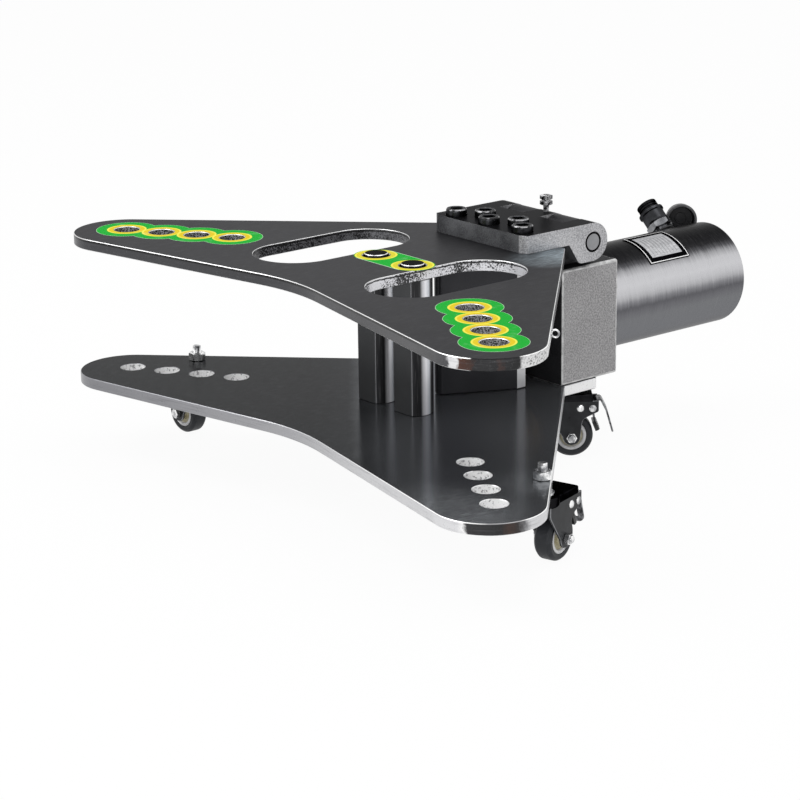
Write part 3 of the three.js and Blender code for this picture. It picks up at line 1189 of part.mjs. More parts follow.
// The brake lever: a bent sheet that turns between the legs, with a foot for the tyre
function brakeLever(name) {
  const pivot = [FORK_CAP_REACH, BRAKE_PIVOT_Z];
  const brow = [FORK_CAP_REACH + BRAKE_BROW_AHEAD, FORK_CAP_BASE_Z + BRAKE_BROW_RISE];
  const elbow = [FORK_CAP_REACH + BRAKE_ELBOW_AHEAD, FORK_CAP_BASE_Z - BRAKE_ELBOW_DROP];
  const tip = [FORK_CAP_REACH + BRAKE_TIP_AHEAD, FORK_CAP_BASE_Z - BRAKE_TIP_DROP];
  const reach = WHEEL_RADIUS + BRAKE_FOOT_GAP + BRAKE_FOOT_THICKNESS / 2;
  const foot = [
    WHEEL_TRAIL + reach * Math.cos(BRAKE_FOOT_ANGLE),
    WHEEL_RADIUS + reach * Math.sin(BRAKE_FOOT_ANGLE),
  ];
  const pad = new THREE.BoxGeometry(BRAKE_FOOT_THICKNESS, BRAKE_FOOT_LENGTH, BRAKE_WIDTH)
    .rotateZ(BRAKE_FOOT_ANGLE)
    .translate(...foot, 0);
  const legOuter = FORK_OUTER_HALF + RUNNING_GAP;
  const pinEnd = legOuter + BRAKE_PIN_HEAD_THICKNESS;
  const barrel = turned([
    [0, -pinEnd],
    [BRAKE_PIVOT_RADIUS, -pinEnd],
    [BRAKE_PIVOT_RADIUS, -legOuter],
    [BRAKE_PIN_RADIUS, -legOuter],
    [BRAKE_PIN_RADIUS, -BRAKE_WIDTH / 2],
    [BRAKE_PIVOT_RADIUS, -BRAKE_WIDTH / 2],
    [BRAKE_PIVOT_RADIUS, BRAKE_WIDTH / 2],
    [BRAKE_PIN_RADIUS, BRAKE_WIDTH / 2],
    [BRAKE_PIN_RADIUS, legOuter],
    [BRAKE_PIVOT_RADIUS, legOuter],
    [BRAKE_PIVOT_RADIUS, pinEnd],
    [0, pinEnd],
  ]).translate(...pivot, 0);
  const runs = [leverRun(pivot, brow), leverRun(brow, elbow), leverRun(elbow, tip), leverRun(pivot, foot)];
  const bends = [brow, elbow].map((bend) => {
    const round = bar(BRAKE_SHEET / 2, BRAKE_WIDTH, -BRAKE_WIDTH / 2);
    return round.translate(...bend, 0);
  });
  const lever = joined(barrel, ...runs, ...bends, pad).rotateX(Math.PI / 2);
  return piece("brake_lever_" + name, lever, FINISH.zinc);
}

// One caster in its place, turned to its heading
function caster({ name, x, y, heading, nut }) {
  const group = new THREE.Group();
  group.position.set(x, y, 0);
  group.rotation.z = heading;
  group.add(casterStem(name, nut), casterFork(name), axleBolt(name), axleNut(name));
  group.add(tyre(name), hub(name), brakeLever(name));
  if (nut) group.add(casterNut(name));
  return group;
}

// The whole machine
const machine = new THREE.Group();
machine.add(lowerPlate(), upperPlate(), plateEye(), hingeLeaf(), hingePin(), hingeLockScrew());
screwPlaces().forEach((place, i) => machine.add(capScrew(i + 1, place)));
machine.add(hingeKnuckle("hinge_knuckle_left", -1), hingeKnuckle("hinge_knuckle_right", 1));
machine.add(headBlock(), rodBush(), cylinderBarrel(), cylinderEndPlug());
machine.add(piston(), pistonSeal(), pistonRod(), returnSpring(), punch());
machine.add(post("post_left", -1), post("post_right", 1), namePlate(), portGroup());
CASTERS.forEach((place) => machine.add(caster(place)));

// The part's origin is on the floor, in the middle of the machine's length
const group = new THREE.Group();
group.add(machine);
group.updateMatrixWorld(true);
const bounds = new THREE.Box3().setFromObject(machine, true);
machine.position.y = -(bounds.min.y + bounds.max.y) / 2;

export default group;
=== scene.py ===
"""Dresses the packed frame of a hydraulic busbar bending machine for its pictures.

Sizes are in millimetres in the machine's own frame: X = 0 is the plane of symmetry, Y = 0 joins the
outermost wing holes, +Y runs towards the cylinder and Z = 0 is the floor. The bench turns them into
the packed frame's metres.
"""

from __future__ import annotations

import logging
import math
from dataclasses import dataclass, field
from enum import Enum
from typing import Callable, Iterable, Mapping, Sequence

import bpy
from mathutils import Matrix, Vector
from mathutils.geometry import tessellate_polygon

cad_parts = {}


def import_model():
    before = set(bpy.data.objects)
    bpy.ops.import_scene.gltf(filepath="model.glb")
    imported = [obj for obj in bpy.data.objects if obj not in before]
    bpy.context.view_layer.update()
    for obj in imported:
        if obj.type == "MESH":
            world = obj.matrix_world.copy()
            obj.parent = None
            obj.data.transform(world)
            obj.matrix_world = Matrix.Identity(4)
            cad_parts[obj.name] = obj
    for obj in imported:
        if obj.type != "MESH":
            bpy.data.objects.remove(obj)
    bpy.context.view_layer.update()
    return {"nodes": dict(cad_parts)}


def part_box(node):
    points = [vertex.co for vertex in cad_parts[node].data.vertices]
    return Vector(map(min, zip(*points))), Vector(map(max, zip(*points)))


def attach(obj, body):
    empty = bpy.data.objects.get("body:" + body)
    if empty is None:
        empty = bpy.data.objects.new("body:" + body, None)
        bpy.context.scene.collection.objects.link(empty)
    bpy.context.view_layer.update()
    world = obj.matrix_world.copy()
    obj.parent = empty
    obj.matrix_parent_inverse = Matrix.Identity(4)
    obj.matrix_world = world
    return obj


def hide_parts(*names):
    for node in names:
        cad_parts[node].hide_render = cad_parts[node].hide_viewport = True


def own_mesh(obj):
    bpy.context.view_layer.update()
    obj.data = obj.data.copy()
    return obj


LOG = logging.getLogger("bending_machine")
MM = 0.001
TURN = 2 * math.pi
RIGHT_ANGLE = math.pi / 2
PHOTO_PIXELS = 800
SENSOR_WIDTH = 36.0
# Room in millimetres between pieces that would touch.
GAP = 0.3
# Half the width of the plates, over which their tones are laid, and half a turn in degrees.
PLATE_REACH = 400.0
HALF_TURN = 180.0
# The machine's two sides along X and their words in the nodes' names.
SIDES = ((1, "right"), (-1, "left"))
# Edges sharper than these are eased, or stay sharp in the shading.
BEVEL_ANGLE = math.radians(32)
SHARP_ANGLE = math.radians(34)

Point = tuple[float, float]
Corner = tuple[float, float, float]
Colour = tuple[float, float, float, float]
Bands = tuple[tuple[float, int], ...]


def tone(code: int) -> Colour:
    """Turns a six-digit sRGB colour code into the linear colour that a shader reads.

    Args:
        code: The colour as 0xRRGGBB.

    Returns:
        Linear red, green, blue and an alpha of one.
    """
    parts = [((code >> shift) & 255) / 255 for shift in (16, 8, 0)]
    linear = [p / 12.92 if p <= 0.04045 else ((p + 0.055) / 1.055) ** 2.4 for p in parts]
    return (linear[0], linear[1], linear[2], 1.0)


def arc(x: float, y: float, radius: float, start: float, end: float,
        step: float = math.radians(5)) -> list[Point]:
    """Points along an arc, both ends included.

    Args:
        x: Middle of the arc across.
        y: Middle of the arc up.
        radius: Radius of the arc.
        start: Angle of the first point.
        end: Angle of the last point.
        step: Widest angle between two points.

    Returns:
        The points in turn.
    """
    count = max(1, math.ceil(abs(end - start) / step - 1e-6))
    angles = [start + (end - start) * i / count for i in range(count + 1)]
    return [(x + radius * math.cos(a), y + radius * math.sin(a)) for a in angles]


def circle(x: float, y: float, radius: float, sides: int = 64) -> list[Point]:
    """A closed ring of points that runs anticlockwise round a middle."""
    angles = [TURN * i / sides for i in range(sides)]
    return [(x + radius * math.cos(a), y + radius * math.sin(a)) for a in angles]


def rounded(corners: Sequence[Corner], closed: bool = True, step: float = math.radians(15)) -> list[Point]:
    """Rounds the corners of a polyline.

    Args:
        corners: Across, up and the radius of each corner.
        closed: Whether the last corner leads back to the first.
        step: Widest angle between two points of a round.

    Returns:
        The points of the rounded line.
    """
    count = len(corners)
    points: list[Point] = []
    for i, (x, y, radius) in enumerate(corners):
        at_end = not closed and i in (0, count - 1)
        if radius <= 0 or at_end:
            points.append((x, y))
            continue
        here = Vector((x, y))
        back = Vector(corners[i - 1][:2]) - here
        ahead = Vector(corners[(i + 1) % count][:2]) - here
        room = 0.49 * min(back.length, ahead.length)
        back.normalize()
        ahead.normalize()
        half = math.acos(max(-1.0, min(1.0, back.dot(ahead)))) / 2
        if half > RIGHT_ANGLE - 1e-3 or half < 1e-3:
            points.append((x, y))
            continue
        reach = min(radius / math.tan(half), room)
        fitted = reach * math.tan(half)
        middle = here + (back + ahead).normalized() * (fitted / math.sin(half))
        start = here + back * reach - middle
        end = here + ahead * reach - middle
        turn = math.atan2(start.x * end.y - start.y * end.x, start.dot(end))
        first = math.atan2(start.y, start.x)
        points += arc(middle.x, middle.y, fitted, first, first + turn, step)
    return points


def shifted(points: Sequence[Point], distance: float) -> list[Point]:
    """Moves a closed outline to its left, which is inwards where it runs anticlockwise.

    Args:
        points: A closed outline, anticlockwise.
        distance: How far it moves inwards.

    Returns:
        The moved outline.
    """
    moved: list[Point] = []
    for i, (x, y) in enumerate(points):
        before = Vector((x, y)) - Vector(points[i - 1])
        after = Vector(points[(i + 1) % len(points)]) - Vector((x, y))
        left = Vector((-before.y, before.x)).normalized()
        right = Vector((-after.y, after.x)).normalized()
        mitre = (left + right) / max(0.2, 1 + left.dot(right))
        moved.append((x + distance * mitre.x, y + distance * mitre.y))
    return moved


def without_repeats(points: Sequence[Point]) -> list[Point]:
    """Drops points that lie on the one before them.

    Args:
        points: A closed outline.

    Returns:
        The outline without points that stand on their neighbour.
    """
    kept: list[Point] = []
    for point in points:
        if not kept or math.dist(point, kept[-1]) > 1e-4:
            kept.append(point)
    if len(kept) > 1 and math.dist(kept[0], kept[-1]) < 1e-4:
        kept.pop()
    return kept


def mirrored(half: Sequence[Corner]) -> list[Corner]:
    """A turned profile whose second half is its first half seen the other way up."""
    return [*half, *((radius, -height, fillet) for radius, height, fillet in reversed(half))]


def around(sides: int, radii: float | Sequence[float], heights: float | Sequence[float]) -> list[Vector]:
    """Points round Z at even angles.

    Args:
        sides: How many there are.
        radii: Their radius, or one for each.
        heights: Their height, or one for each.

    Returns:
        The points in turn.
    """
    spots = []
    for i in range(sides):
        radius = radii[i] if isinstance(radii, list) else radii
        height = heights[i] if isinstance(heights, list) else heights
        spots.append(Vector((radius * math.cos(TURN * i / sides), radius * math.sin(TURN * i / sides), height)))
    return spots


def middle_of(points: Sequence[Vector]) -> Vector:
    """The middle of a face's corners."""
    return sum(points, Vector()) / len(points)


@dataclass
class Form:
    """A closed surface in millimetres, each face with a number that picks its finish."""

    points: list[Vector] = field(default_factory=list)
    faces: list[tuple[int, ...]] = field(default_factory=list)
    tags: list[int] = field(default_factory=list)

    def face(self, corners: Sequence[int], tag: int = 0) -> None:
        """Adds one face."""
        self.faces.append(tuple(corners))
        self.tags.append(tag)

    def ring(self, points: Iterable[Vector]) -> list[int]:
        """Adds points and says which they are."""
        base = len(self.points)
        self.points.extend(points)
        return list(range(base, len(self.points)))

    def band(self, below: Sequence[int], above: Sequence[int], tag: int = 0) -> None:
        """Joins two rings of one size by faces, which have three sides where a ring is a single point.

        Args:
            below: Point numbers of one ring.
            above: As many of the next ring.
            tag: The number of the new faces.
        """
        for i in range(len(below)):
            j = (i + 1) % len(below)
            corners = (below[i], below[j], above[j], above[i])
            whole = [corner for n, corner in enumerate(corners) if corner != corners[n - 1]]
            if len(whole) > 2:
                self.face(whole, tag)

    def skin(self, rings: Sequence[Sequence[int]], closed: bool = False) -> None:
        """Joins each ring to the next, and the last to the first or else closes both ends.

        Args:
            rings: Rings of point numbers, in order.
            closed: Whether the last ring meets the first.
        """
        for below, above in zip(rings, rings[1:]):
            self.band(below, above)
        if closed:
            self.band(rings[-1], rings[0])
        else:
            self.face(rings[0][::-1])
            self.face(rings[-1])

    def joined(self, *others: "Form") -> "Form":
        """This form and the others as one."""
        whole = Form(list(self.points), list(self.faces), list(self.tags))
        for other in others:
            base = len(whole.points)
            whole.points += other.points
            whole.faces += [tuple(base + i for i in corners) for corners in other.faces]
            whole.tags += other.tags
        return whole

    def moved(self, matrix: Matrix) -> "Form":
        """This form under a matrix that doesn't mirror it."""
        return Form([matrix @ p for p in self.points], list(self.faces), list(self.tags))

    def tagged(self, tag: int) -> "Form":
        """This form with one finish number on every face."""
        return Form(list(self.points), list(self.faces), [tag] * len(self.faces))

    def retag(self, rule: Callable[[Sequence[Vector]], int]) -> None:
        """Gives each face the finish number that a rule finds for its corners."""
        self.tags = [rule([self.points[i] for i in corners]) for corners in self.faces]


def shift(x: float = 0, y: float = 0, z: float = 0) -> Matrix:
    """A move."""
    return Matrix.Translation((x, y, z))


def spin(angle: float, axis: str) -> Matrix:
    """A turn round one of the axes."""
    return Matrix.Rotation(angle, 4, axis)


ALONG_Y = spin(-RIGHT_ANGLE, "X")
ALONG_X = Matrix(((0, 0, 1, 0), (1, 0, 0, 0), (0, 1, 0, 0), (0, 0, 0, 1)))


def slab(outline: Sequence[Point], low: float, high: float, ease: float = 0,
        holes: Sequence[Sequence[Point]] = (), steps: int = 1, wall_tags: Sequence[int] | None = None,
        cap_tag: int = 0, ease_tag: int = 0, hole_ease: float | None = None) -> Form:
    """A plate on an outline, its edges eased by a chamfer or a small round.

    Args:
        outline: The outline, anticlockwise.
        low: Height of the underside.
        high: Height of the top.
        ease: Size of the eased edge.
        holes: Holes through the plate, each anticlockwise.
        steps: Faces across an eased edge; one makes a chamfer.
        wall_tags: Finish number of the outer wall and of each hole's wall.
        cap_tag: Finish number of top and underside.
        ease_tag: Finish number of the eased edges.
        hole_ease: Size of the eased edge of the holes, where it isn't the same.

    Returns:
        The closed form.
    """
    form = Form()
    loops = [without_repeats(outline)] + [without_repeats(hole)[::-1] for hole in holes]
    tags = list(wall_tags or [cap_tag] * len(loops))
    over: list[int] = []
    under: list[int] = []
    flat: list[list[Vector]] = []
    for number, loop in enumerate(loops):
        size = ease if number == 0 or hole_ease is None else hole_ease
        quarter = [RIGHT_ANGLE * k / steps for k in range(steps + 1)] if size else [RIGHT_ANGLE]
        levels = [(size * (1 - math.sin(a)), low + size * (1 - math.cos(a))) for a in quarter]
        levels += [(inset, low + high - level) for inset, level in reversed(levels)]
        rings = []
        for inset, level in levels:
            line = shifted(loop, inset) if inset else loop
            rings.append(form.ring(Vector((x, y, level)) for x, y in line))
        for k, (below, above) in enumerate(zip(rings, rings[1:])):
            form.band(below, above, tags[number] if k == len(rings) // 2 - 1 else ease_tag)
        under += rings[0]
        over += rings[-1]
        flat.append([form.points[i] for i in rings[-1]])
    for corners in tessellate_polygon(flat):
        a, b, c = (form.points[over[i]] for i in corners)
        top = corners if (b - a).cross(c - a).z > 0 else corners[::-1]
        form.face([over[i] for i in top], cap_tag)
        form.face([under[i] for i in reversed(top)], cap_tag)
    return form


def turned(profile: Sequence[Point], sides: int = 64, tags: Sequence[int] | None = None) -> Form:
    """A form turned round Z from a profile that runs up its outside.

    Args:
        profile: Radius and height of each point; it starts and ends on the axis or closes on itself.
        sides: Faces round the form.
        tags: Finish number of each run of the profile.

    Returns:
        The closed form.
    """
    form = Form()
    closed = math.dist(profile[0], profile[-1]) < 1e-6
    rings: list[list[int]] = []
    for radius, height in profile[:-1] if closed else profile:
        on_axis = radius < 1e-6
        ring = form.ring([Vector((0, 0, height))] if on_axis else around(sides, radius, height))
        rings.append(ring * sides if on_axis else ring)
    for k in range(len(rings) if closed else len(rings) - 1):
        form.band(rings[k], rings[(k + 1) % len(rings)], tags[k] if tags else 0)
    return form


def lathe(corners: Sequence[Corner], sides: int = 64, closed: bool = False, tag: int = 0) -> Form:
    """A turned form whose profile has rounded corners.

    Args:
        corners: Radius, height and fillet of each corner, up the outside.
        sides: Faces round the form.
        closed: Whether the profile leads back to its start, as in a ring.
        tag: Finish number of the form.

    Returns:
        The closed form.
    """
    profile = rounded(corners, closed, math.radians(22.5))
    return turned(profile + profile[:1] if closed else profile, sides).tagged(tag)


def swept(path: Sequence[Vector], section: Sequence[Point],
        sides: Callable[[Vector, Vector], tuple[Vector, Vector]]) -> Form:
    """A bar that follows a path.

    Args:
        path: The middle line of the bar.
        section: Its cross section.
        sides: Finds the section's two directions from a point and the way that the path runs there.

    Returns:
        The closed form.
    """
    form = Form()
    rings = []
    for i, point in enumerate(path):
        run = (path[min(i + 1, len(path) - 1)] - path[max(i - 1, 0)]).normalized()
        across, out = sides(point, run)
        rings.append(form.ring(point + across * u + out * v for u, v in section))
    form.skin(rings)
    return form


def hex_radius(flats: float, angle: float) -> float:
    """How far a hexagon's side stands from its middle at an angle, by its width across flats."""
    return flats / 2 / math.cos(angle % (math.pi / 3) - math.pi / 6)


def nut(flats: float, height: float, bore: float, base: float = 0) -> Form:
    """A hexagon nut with both faces chamfered and a bore.

    Args:
        flats: Width across flats.
        height: Height of the nut.
        bore: Radius of the bore; none where it is zero.
        base: Height of its underside.

    Returns:
        The closed form, along Z.
    """
    sides = 48
    top = base + height
    rim = [hex_radius(flats, TURN * i / sides) for i in range(sides)]
    drop = [(radius - flats / 2 * 0.96) * 0.58 for radius in rim]
    face = flats / 2 * 0.95
    levels = [(face, base), (rim, [base + d for d in drop]), (rim, [top - d for d in drop]), (face, top)]
    if bore:
        ease = 0.1 * rim[0]
        levels += [(bore + ease, top), (bore, top - ease), (bore, base + ease), (bore + ease, base)]
    form = Form()
    form.skin([form.ring(around(sides, radii, heights)) for radii, heights in levels], bool(bore))
    return form


def _operator(operation: str, words: str, swapped: bool = False) -> Callable[..., "Signal"]:
    """Makes a method that puts a Math node behind a value.

    Args:
        operation: The node's operation.
        words: The method's own docstring.
        swapped: Whether the value itself comes second.

    Returns:
        The method.
    """

    def method(self: "Signal", other: object = 0.0) -> "Signal":
        """Puts the node behind the value."""
        return self.bench.math(operation, *((other, self) if swapped else (self, other)))

    method.__doc__ = words
    return method


class Signal:
    """A shader value that Python's operators extend by Math nodes."""

    def __init__(self, bench: "NodeBench", socket: bpy.types.NodeSocket) -> None:
        """Holds a socket and the bench that made it."""
        self.bench = bench
        self.socket = socket

    __add__ = _operator("ADD", "Sum.")
    __radd__ = _operator("ADD", "Sum, from the right.", True)
    __sub__ = _operator("SUBTRACT", "Difference.")
    __rsub__ = _operator("SUBTRACT", "Difference, from the right.", True)
    __mul__ = _operator("MULTIPLY", "Product.")
    __rmul__ = _operator("MULTIPLY", "Product, from the right.", True)
    least = _operator("MINIMUM", "The smaller of two values.")
    most = _operator("MAXIMUM", "The larger of two values.")
    size = _operator("ABSOLUTE", "The value without its sign.")
    root = _operator("SQRT", "The square root.")
    fraction = _operator("FRACT", "What is left over the whole number below it.")
    angle = _operator("ARCTAN2", "The angle in radians whose rise is this value and whose run is the other.")

    def rise(self, start: float, end: float) -> "Signal":
        """A smooth step from zero at start to one at end."""
        settings = {"interpolation_type": "SMOOTHSTEP", "clamp": True}
        made = self.bench.node("ShaderNodeMapRange", settings, {0: self, 1: start, 2: end, 3: 0.0, 4: 1.0})
        return Signal(self.bench, made.outputs[0])

    def between(self, low: float, high: float, blur: float) -> "Signal":
        """One inside a band and zero outside it, with soft sides."""
        return self.rise(low - blur, low + blur) * (1 - self.rise(high - blur, high + blur))


class NodeBench:
    """Makes the nodes of one tree."""

    def __init__(self, tree: bpy.types.NodeTree) -> None:
        """Starts with an empty tree."""
        self.tree = tree
        tree.nodes.clear()

    def node(self, kind: str, settings: Mapping[str, object] | None = None,
            inputs: Mapping[object, object] | None = None) -> bpy.types.Node:
        """Makes any node.

        Args:
            kind: The node's type.
            settings: Its properties, set first.
            inputs: Values or links by a socket's name or place.

        Returns:
            The node.
        """
        made = self.tree.nodes.new(kind)
        for key, value in (settings or {}).items():
            setattr(made, key, value)
        for key, value in (inputs or {}).items():
            if isinstance(value, (Signal, bpy.types.NodeSocket)):
                self.tree.links.new(value.socket if isinstance(value, Signal) else value, made.inputs[key])
            else:
                made.inputs[key].default_value = value
        return made

    def math(self, operation: str, first: object, second: object) -> Signal:
        """One Math node on two values."""
        made = self.node("ShaderNodeMath", {"operation": operation}, {0: first, 1: second})
        return Signal(self, made.outputs[0])

    def place(self) -> bpy.types.NodeSocket:
        """The piece's own coordinates, in metres."""
        return self.node("ShaderNodeTexCoord").outputs["Object"]

    def parts(self, vector: bpy.types.NodeSocket) -> list[Signal]:
        """The three parts of a vector."""
        split = self.node("ShaderNodeSeparateXYZ", {}, {0: vector})
        return [Signal(self, split.outputs[i]) for i in range(3)]

    def axes(self) -> list[Signal]:
        """The piece's coordinates in millimetres, one by one."""
        return [part * (1 / MM) for part in self.parts(self.place())]

    def noise(self, size: float, detail: float = 3.0, stretch: Sequence[float] = (1, 1, 1),
            rough: float = 0.5) -> Signal:
        """Noise of a given grain.

        Args:
            size: Size of the grain in millimetres.
            detail: Octaves of finer grain.
            stretch: Shrinks the grain along each axis.
            rough: How strong the finer grain is.

        Returns:
            A value round a half.
        """
        spot = {"Vector": self.place(), "Scale": tuple(stretch)}
        mapped = self.node("ShaderNodeMapping", {"vector_type": "POINT"}, spot)
        inputs = {"Vector": mapped.outputs[0], "Scale": 1 / (size * MM), "Detail": detail, "Roughness": rough}
        made = self.node("ShaderNodeTexNoise", {"noise_dimensions": "3D"}, inputs)
        return Signal(self, made.outputs[0])

    def mix(self, factor: object, first: object, second: object) -> bpy.types.NodeSocket:
        """Blends two colours."""
        settings = {"data_type": "RGBA", "clamp_factor": True}
        return self.node("ShaderNodeMix", settings, {0: factor, 6: first, 7: second}).outputs[2]

    def over(self, base: object, *layers: tuple[object, int]) -> bpy.types.NodeSocket:
        """Lays tones over a colour in turn, each as strongly as its mask says."""
        for mask, code in layers:
            base = self.mix(mask, base, tone(code))
        return base

    def bands(self, value: Signal, half: float, bands: Bands) -> bpy.types.NodeSocket:
        """Turns a value between minus half and half into tones with straight passages between them.

        Args:
            value: What the bands are read by.
            half: The value's reach to both sides of zero.
            bands: Places and colour codes.

        Returns:
            The colour.
        """
        made = self.node("ShaderNodeValToRGB", {}, {0: (value + half) * (0.5 / half)})
        ramp = made.color_ramp
        ramp.interpolation = "LINEAR"
        while len(ramp.elements) > 1:
            ramp.elements.remove(ramp.elements[-1])
        stops = [((place + half) / (2 * half), tone(code)) for place, code in bands]
        ramp.elements[0].position, ramp.elements[0].color = stops[0]
        for place, colour in stops[1:]:
            ramp.elements.new(place).color = colour
        return made.outputs[0]

    def bump(self, height: Signal, distance: float) -> bpy.types.NodeSocket:
        """Turns a height into a normal; the distance is in millimetres."""
        inputs = {"Height": height, "Distance": distance * MM, "Strength": 1.0}
        return self.node("ShaderNodeBump", {}, inputs).outputs[0]

    def surface(self, **inputs: object) -> None:
        """Ends the tree in one Principled surface with the inputs given by their names."""
        named = {key.replace("_", " "): value for key, value in inputs.items()}
        shader = self.node("ShaderNodeBsdfPrincipled", {}, named)
        self.node("ShaderNodeOutputMaterial", {}, {0: shader.outputs[0]})


def new_bench(name: str) -> tuple[bpy.types.Material, NodeBench]:
    """A new material and the bench of its tree."""
    material = bpy.data.materials.new(name)
    material.use_nodes = True
    return material, NodeBench(material.node_tree)


def grey(share: float) -> Colour:
    """A neutral tint."""
    return (share, share, share, 1.0)


@dataclass(frozen=True)
class Finish:
    """A finish by its name; each kind lays its own nodes."""

    name: str

    def material(self) -> bpy.types.Material:
        """Builds the material."""
        material, bench = new_bench(self.name)
        self.lay(bench)
        return material

    def lay(self, bench: NodeBench) -> None:
        """Lays the finish's nodes."""
        raise NotImplementedError


@dataclass(frozen=True)
class Metal(Finish):
    """A metal surface with soft patches, a fine grain and a controlled edge glare.

    The glare is what the surface gives back at a flat angle, from none to full.
    """

    light: int
    dark: int
    roughness: float
    glare: float = 1.0
    metallic: float = 1.0
    patch: float = 40.0
    contrast: float = 1.0
    grain: float = 0.6
    grain_height: float = 0.02
    speckle: float = 0.0
    roughness_swing: float = 0.12

    def lay(self, bench: NodeBench) -> None:
        """Light patches on dark ones."""
        patches = bench.noise(self.patch, 4)
        mask = (patches - 0.5) * (1.8 * self.contrast) + 0.5
        grain = bench.noise(self.grain, 2)
        if self.speckle:
            mask = mask + (grain - 0.5) * self.speckle
        bench.surface(Base_Color=bench.mix(mask.rise(0.0, 1.0), tone(self.dark), tone(self.light)),
            Roughness=(patches - 0.5) * self.roughness_swing + self.roughness, Metallic=self.metallic,
            Specular_Tint=grey(self.glare), Normal=bench.bump(grain, self.grain_height))


@dataclass(frozen=True)
class Mottled(Finish):
    """Rough-cut steel with bright flakes on a dark ground, in places more of the one or the other."""

    bright: int
    black: int
    flake: float = 2.4
    share: float = 0.5
    drift: float = 0.0
    metallic: float = 0.3
    shaded: float = 0.0
    seam: Point | None = None

    def lay(self, bench: NodeBench) -> None:
        """Flakes, a darker right-hand side and a dark seam."""
        flakes = bench.noise(self.flake, 4, rough=0.62)
        level = 0.3 + 0.4 * (1 - self.share) + (bench.noise(42, 2) - 0.5) * self.drift
        base = bench.mix((flakes - level).rise(-0.06, 0.06), tone(self.black), tone(self.bright))
        # Painted shade: faces turned to +X get darker.
        if self.shaded:
            side = bench.parts(bench.node("ShaderNodeNewGeometry").outputs["Normal"])[0]
            base = bench.over(base, (side.rise(-0.2, 0.9) * self.shaded, self.black))
        if self.seam:
            wavy = bench.axes()[2] + (bench.noise(5, 3) - 0.5) * 2
            base = bench.over(base, (wavy.between(*self.seam, 0.4), 0x0A0A0B))
        fine = bench.noise(0.9, 2)
        bench.surface(Base_Color=base, Roughness=0.25 + fine * 0.15, Metallic=self.metallic,
            Normal=bench.bump(fine, 0.03))


@dataclass(frozen=True)
class PlateEdge(Finish):
    """The cut edge of a plate: tones along its front, and a pattern by angle round the right tip.

    Places are millimetres in the packed frame; a seam is the dark line under the upper bevel.
    """

    tip: Point
    front: Bands
    tip_reflection_bands: Bands
    fleck: int = 0x2A2A2C
    fleck_from: float = 400.0
    speckle: float = 0.3
    streak: float = 0.0
    seam: Point | None = None
    lit_tongue_from: float = 1000.0
    metallic: float = 0.35
    roughness: float = 0.3

    def lay(self, bench: NodeBench) -> None:
        """The front's tones, the tip's pattern over them, and what runs along both."""
        across, deep, up = bench.axes()
        fine = bench.noise(1.9, 4, rough=0.7)
        turn = (deep - self.tip[1]).angle(across - self.tip[0]) * (360 / TURN)
        degrees = turn + (bench.noise(6, 3, rough=0.6) - 0.5) * 14
        flecks = bench.noise(2.6, 4, rough=0.65).rise(0.52, 0.6) * 0.8
        flecks = flecks * degrees.rise(self.fleck_from - 4, self.fleck_from + 4)
        at_tip = bench.over(bench.bands(degrees, HALF_TURN, self.tip_reflection_bands), (flecks, self.fleck))
        front = bench.bands(across, PLATE_REACH, self.front)
        base = bench.mix(across.rise(self.tip[0] - 22, self.tip[0] - 14), front, at_tip)
        if self.streak:
            lines = bench.noise(1.4, 3, (0.04, 0.04, 1))
            base = bench.over(base, (lines.rise(0.5, 0.75) * self.streak, 0x5A5A5E))
        if self.seam:
            base = bench.over(base, (up.between(*self.seam, 0.35) * (1 - across.rise(250, 300)), 0x050506))
        # Painted highlight: the tongue's sides turn near white.
        tongue = deep.rise(self.lit_tongue_from - 1, self.lit_tongue_from + 1)
        bench.surface(Base_Color=bench.over(base, (fine.rise(0.55, 0.8) * self.speckle, 0x8C8C8E),
                (tongue, 0xF2F2F2)), Roughness=self.roughness + (fine - 0.5) * 0.2, Metallic=self.metallic,
            Normal=bench.bump(fine, 0.02))


@dataclass(frozen=True)
class PlateWithPaintedSheen(Finish):
    """Blackened steel, worn lighter where bars slide and brushed by them near its edges."""

    way: Point
    tones: Bands
    painted_sheen: tuple[tuple[float, float, float, float], ...]
    painted_sheen_tone: int
    roughness: float = 0.3
    metallic: float = 0.75
    sheen: float = 0.5

    def lay(self, bench: NodeBench) -> None:
        """Tones along one way, brushed patches and hairlines."""
        across, deep, _ = bench.axes()
        # Tones along one way; on the lower plate they are a painted reflection.
        reach = across * self.way[0] + deep * self.way[1] + (bench.noise(30, 4) - 0.5) * 16
        base = bench.bands(reach, PLATE_REACH, self.tones)
        hairs = bench.noise(2.2, 4, (1, 0.16, 1), 0.65)
        for x, y, radius, strength in self.painted_sheen:
            side, ahead = across - x, deep - y
            patch = 1 - (side * side + ahead * ahead).root().rise(radius * 0.3, radius)
            # Painted sheen: a lighter patch, streaked by the brushed hairlines.
            worn = patch * (0.35 + hairs.rise(0.4, 0.7) * 0.65) * strength
            base = bench.over(base, (worn, self.painted_sheen_tone))
        fine = bench.noise(1.1, 2)
        bench.surface(Base_Color=bench.over(base, (hairs.rise(0.45, 0.75) * 0.12, 0x909296)),
            Roughness=self.roughness + (fine - 0.5) * 0.1, Metallic=self.metallic,
            Specular_Tint=grey(self.sheen), Normal=bench.bump(fine, 0.02))


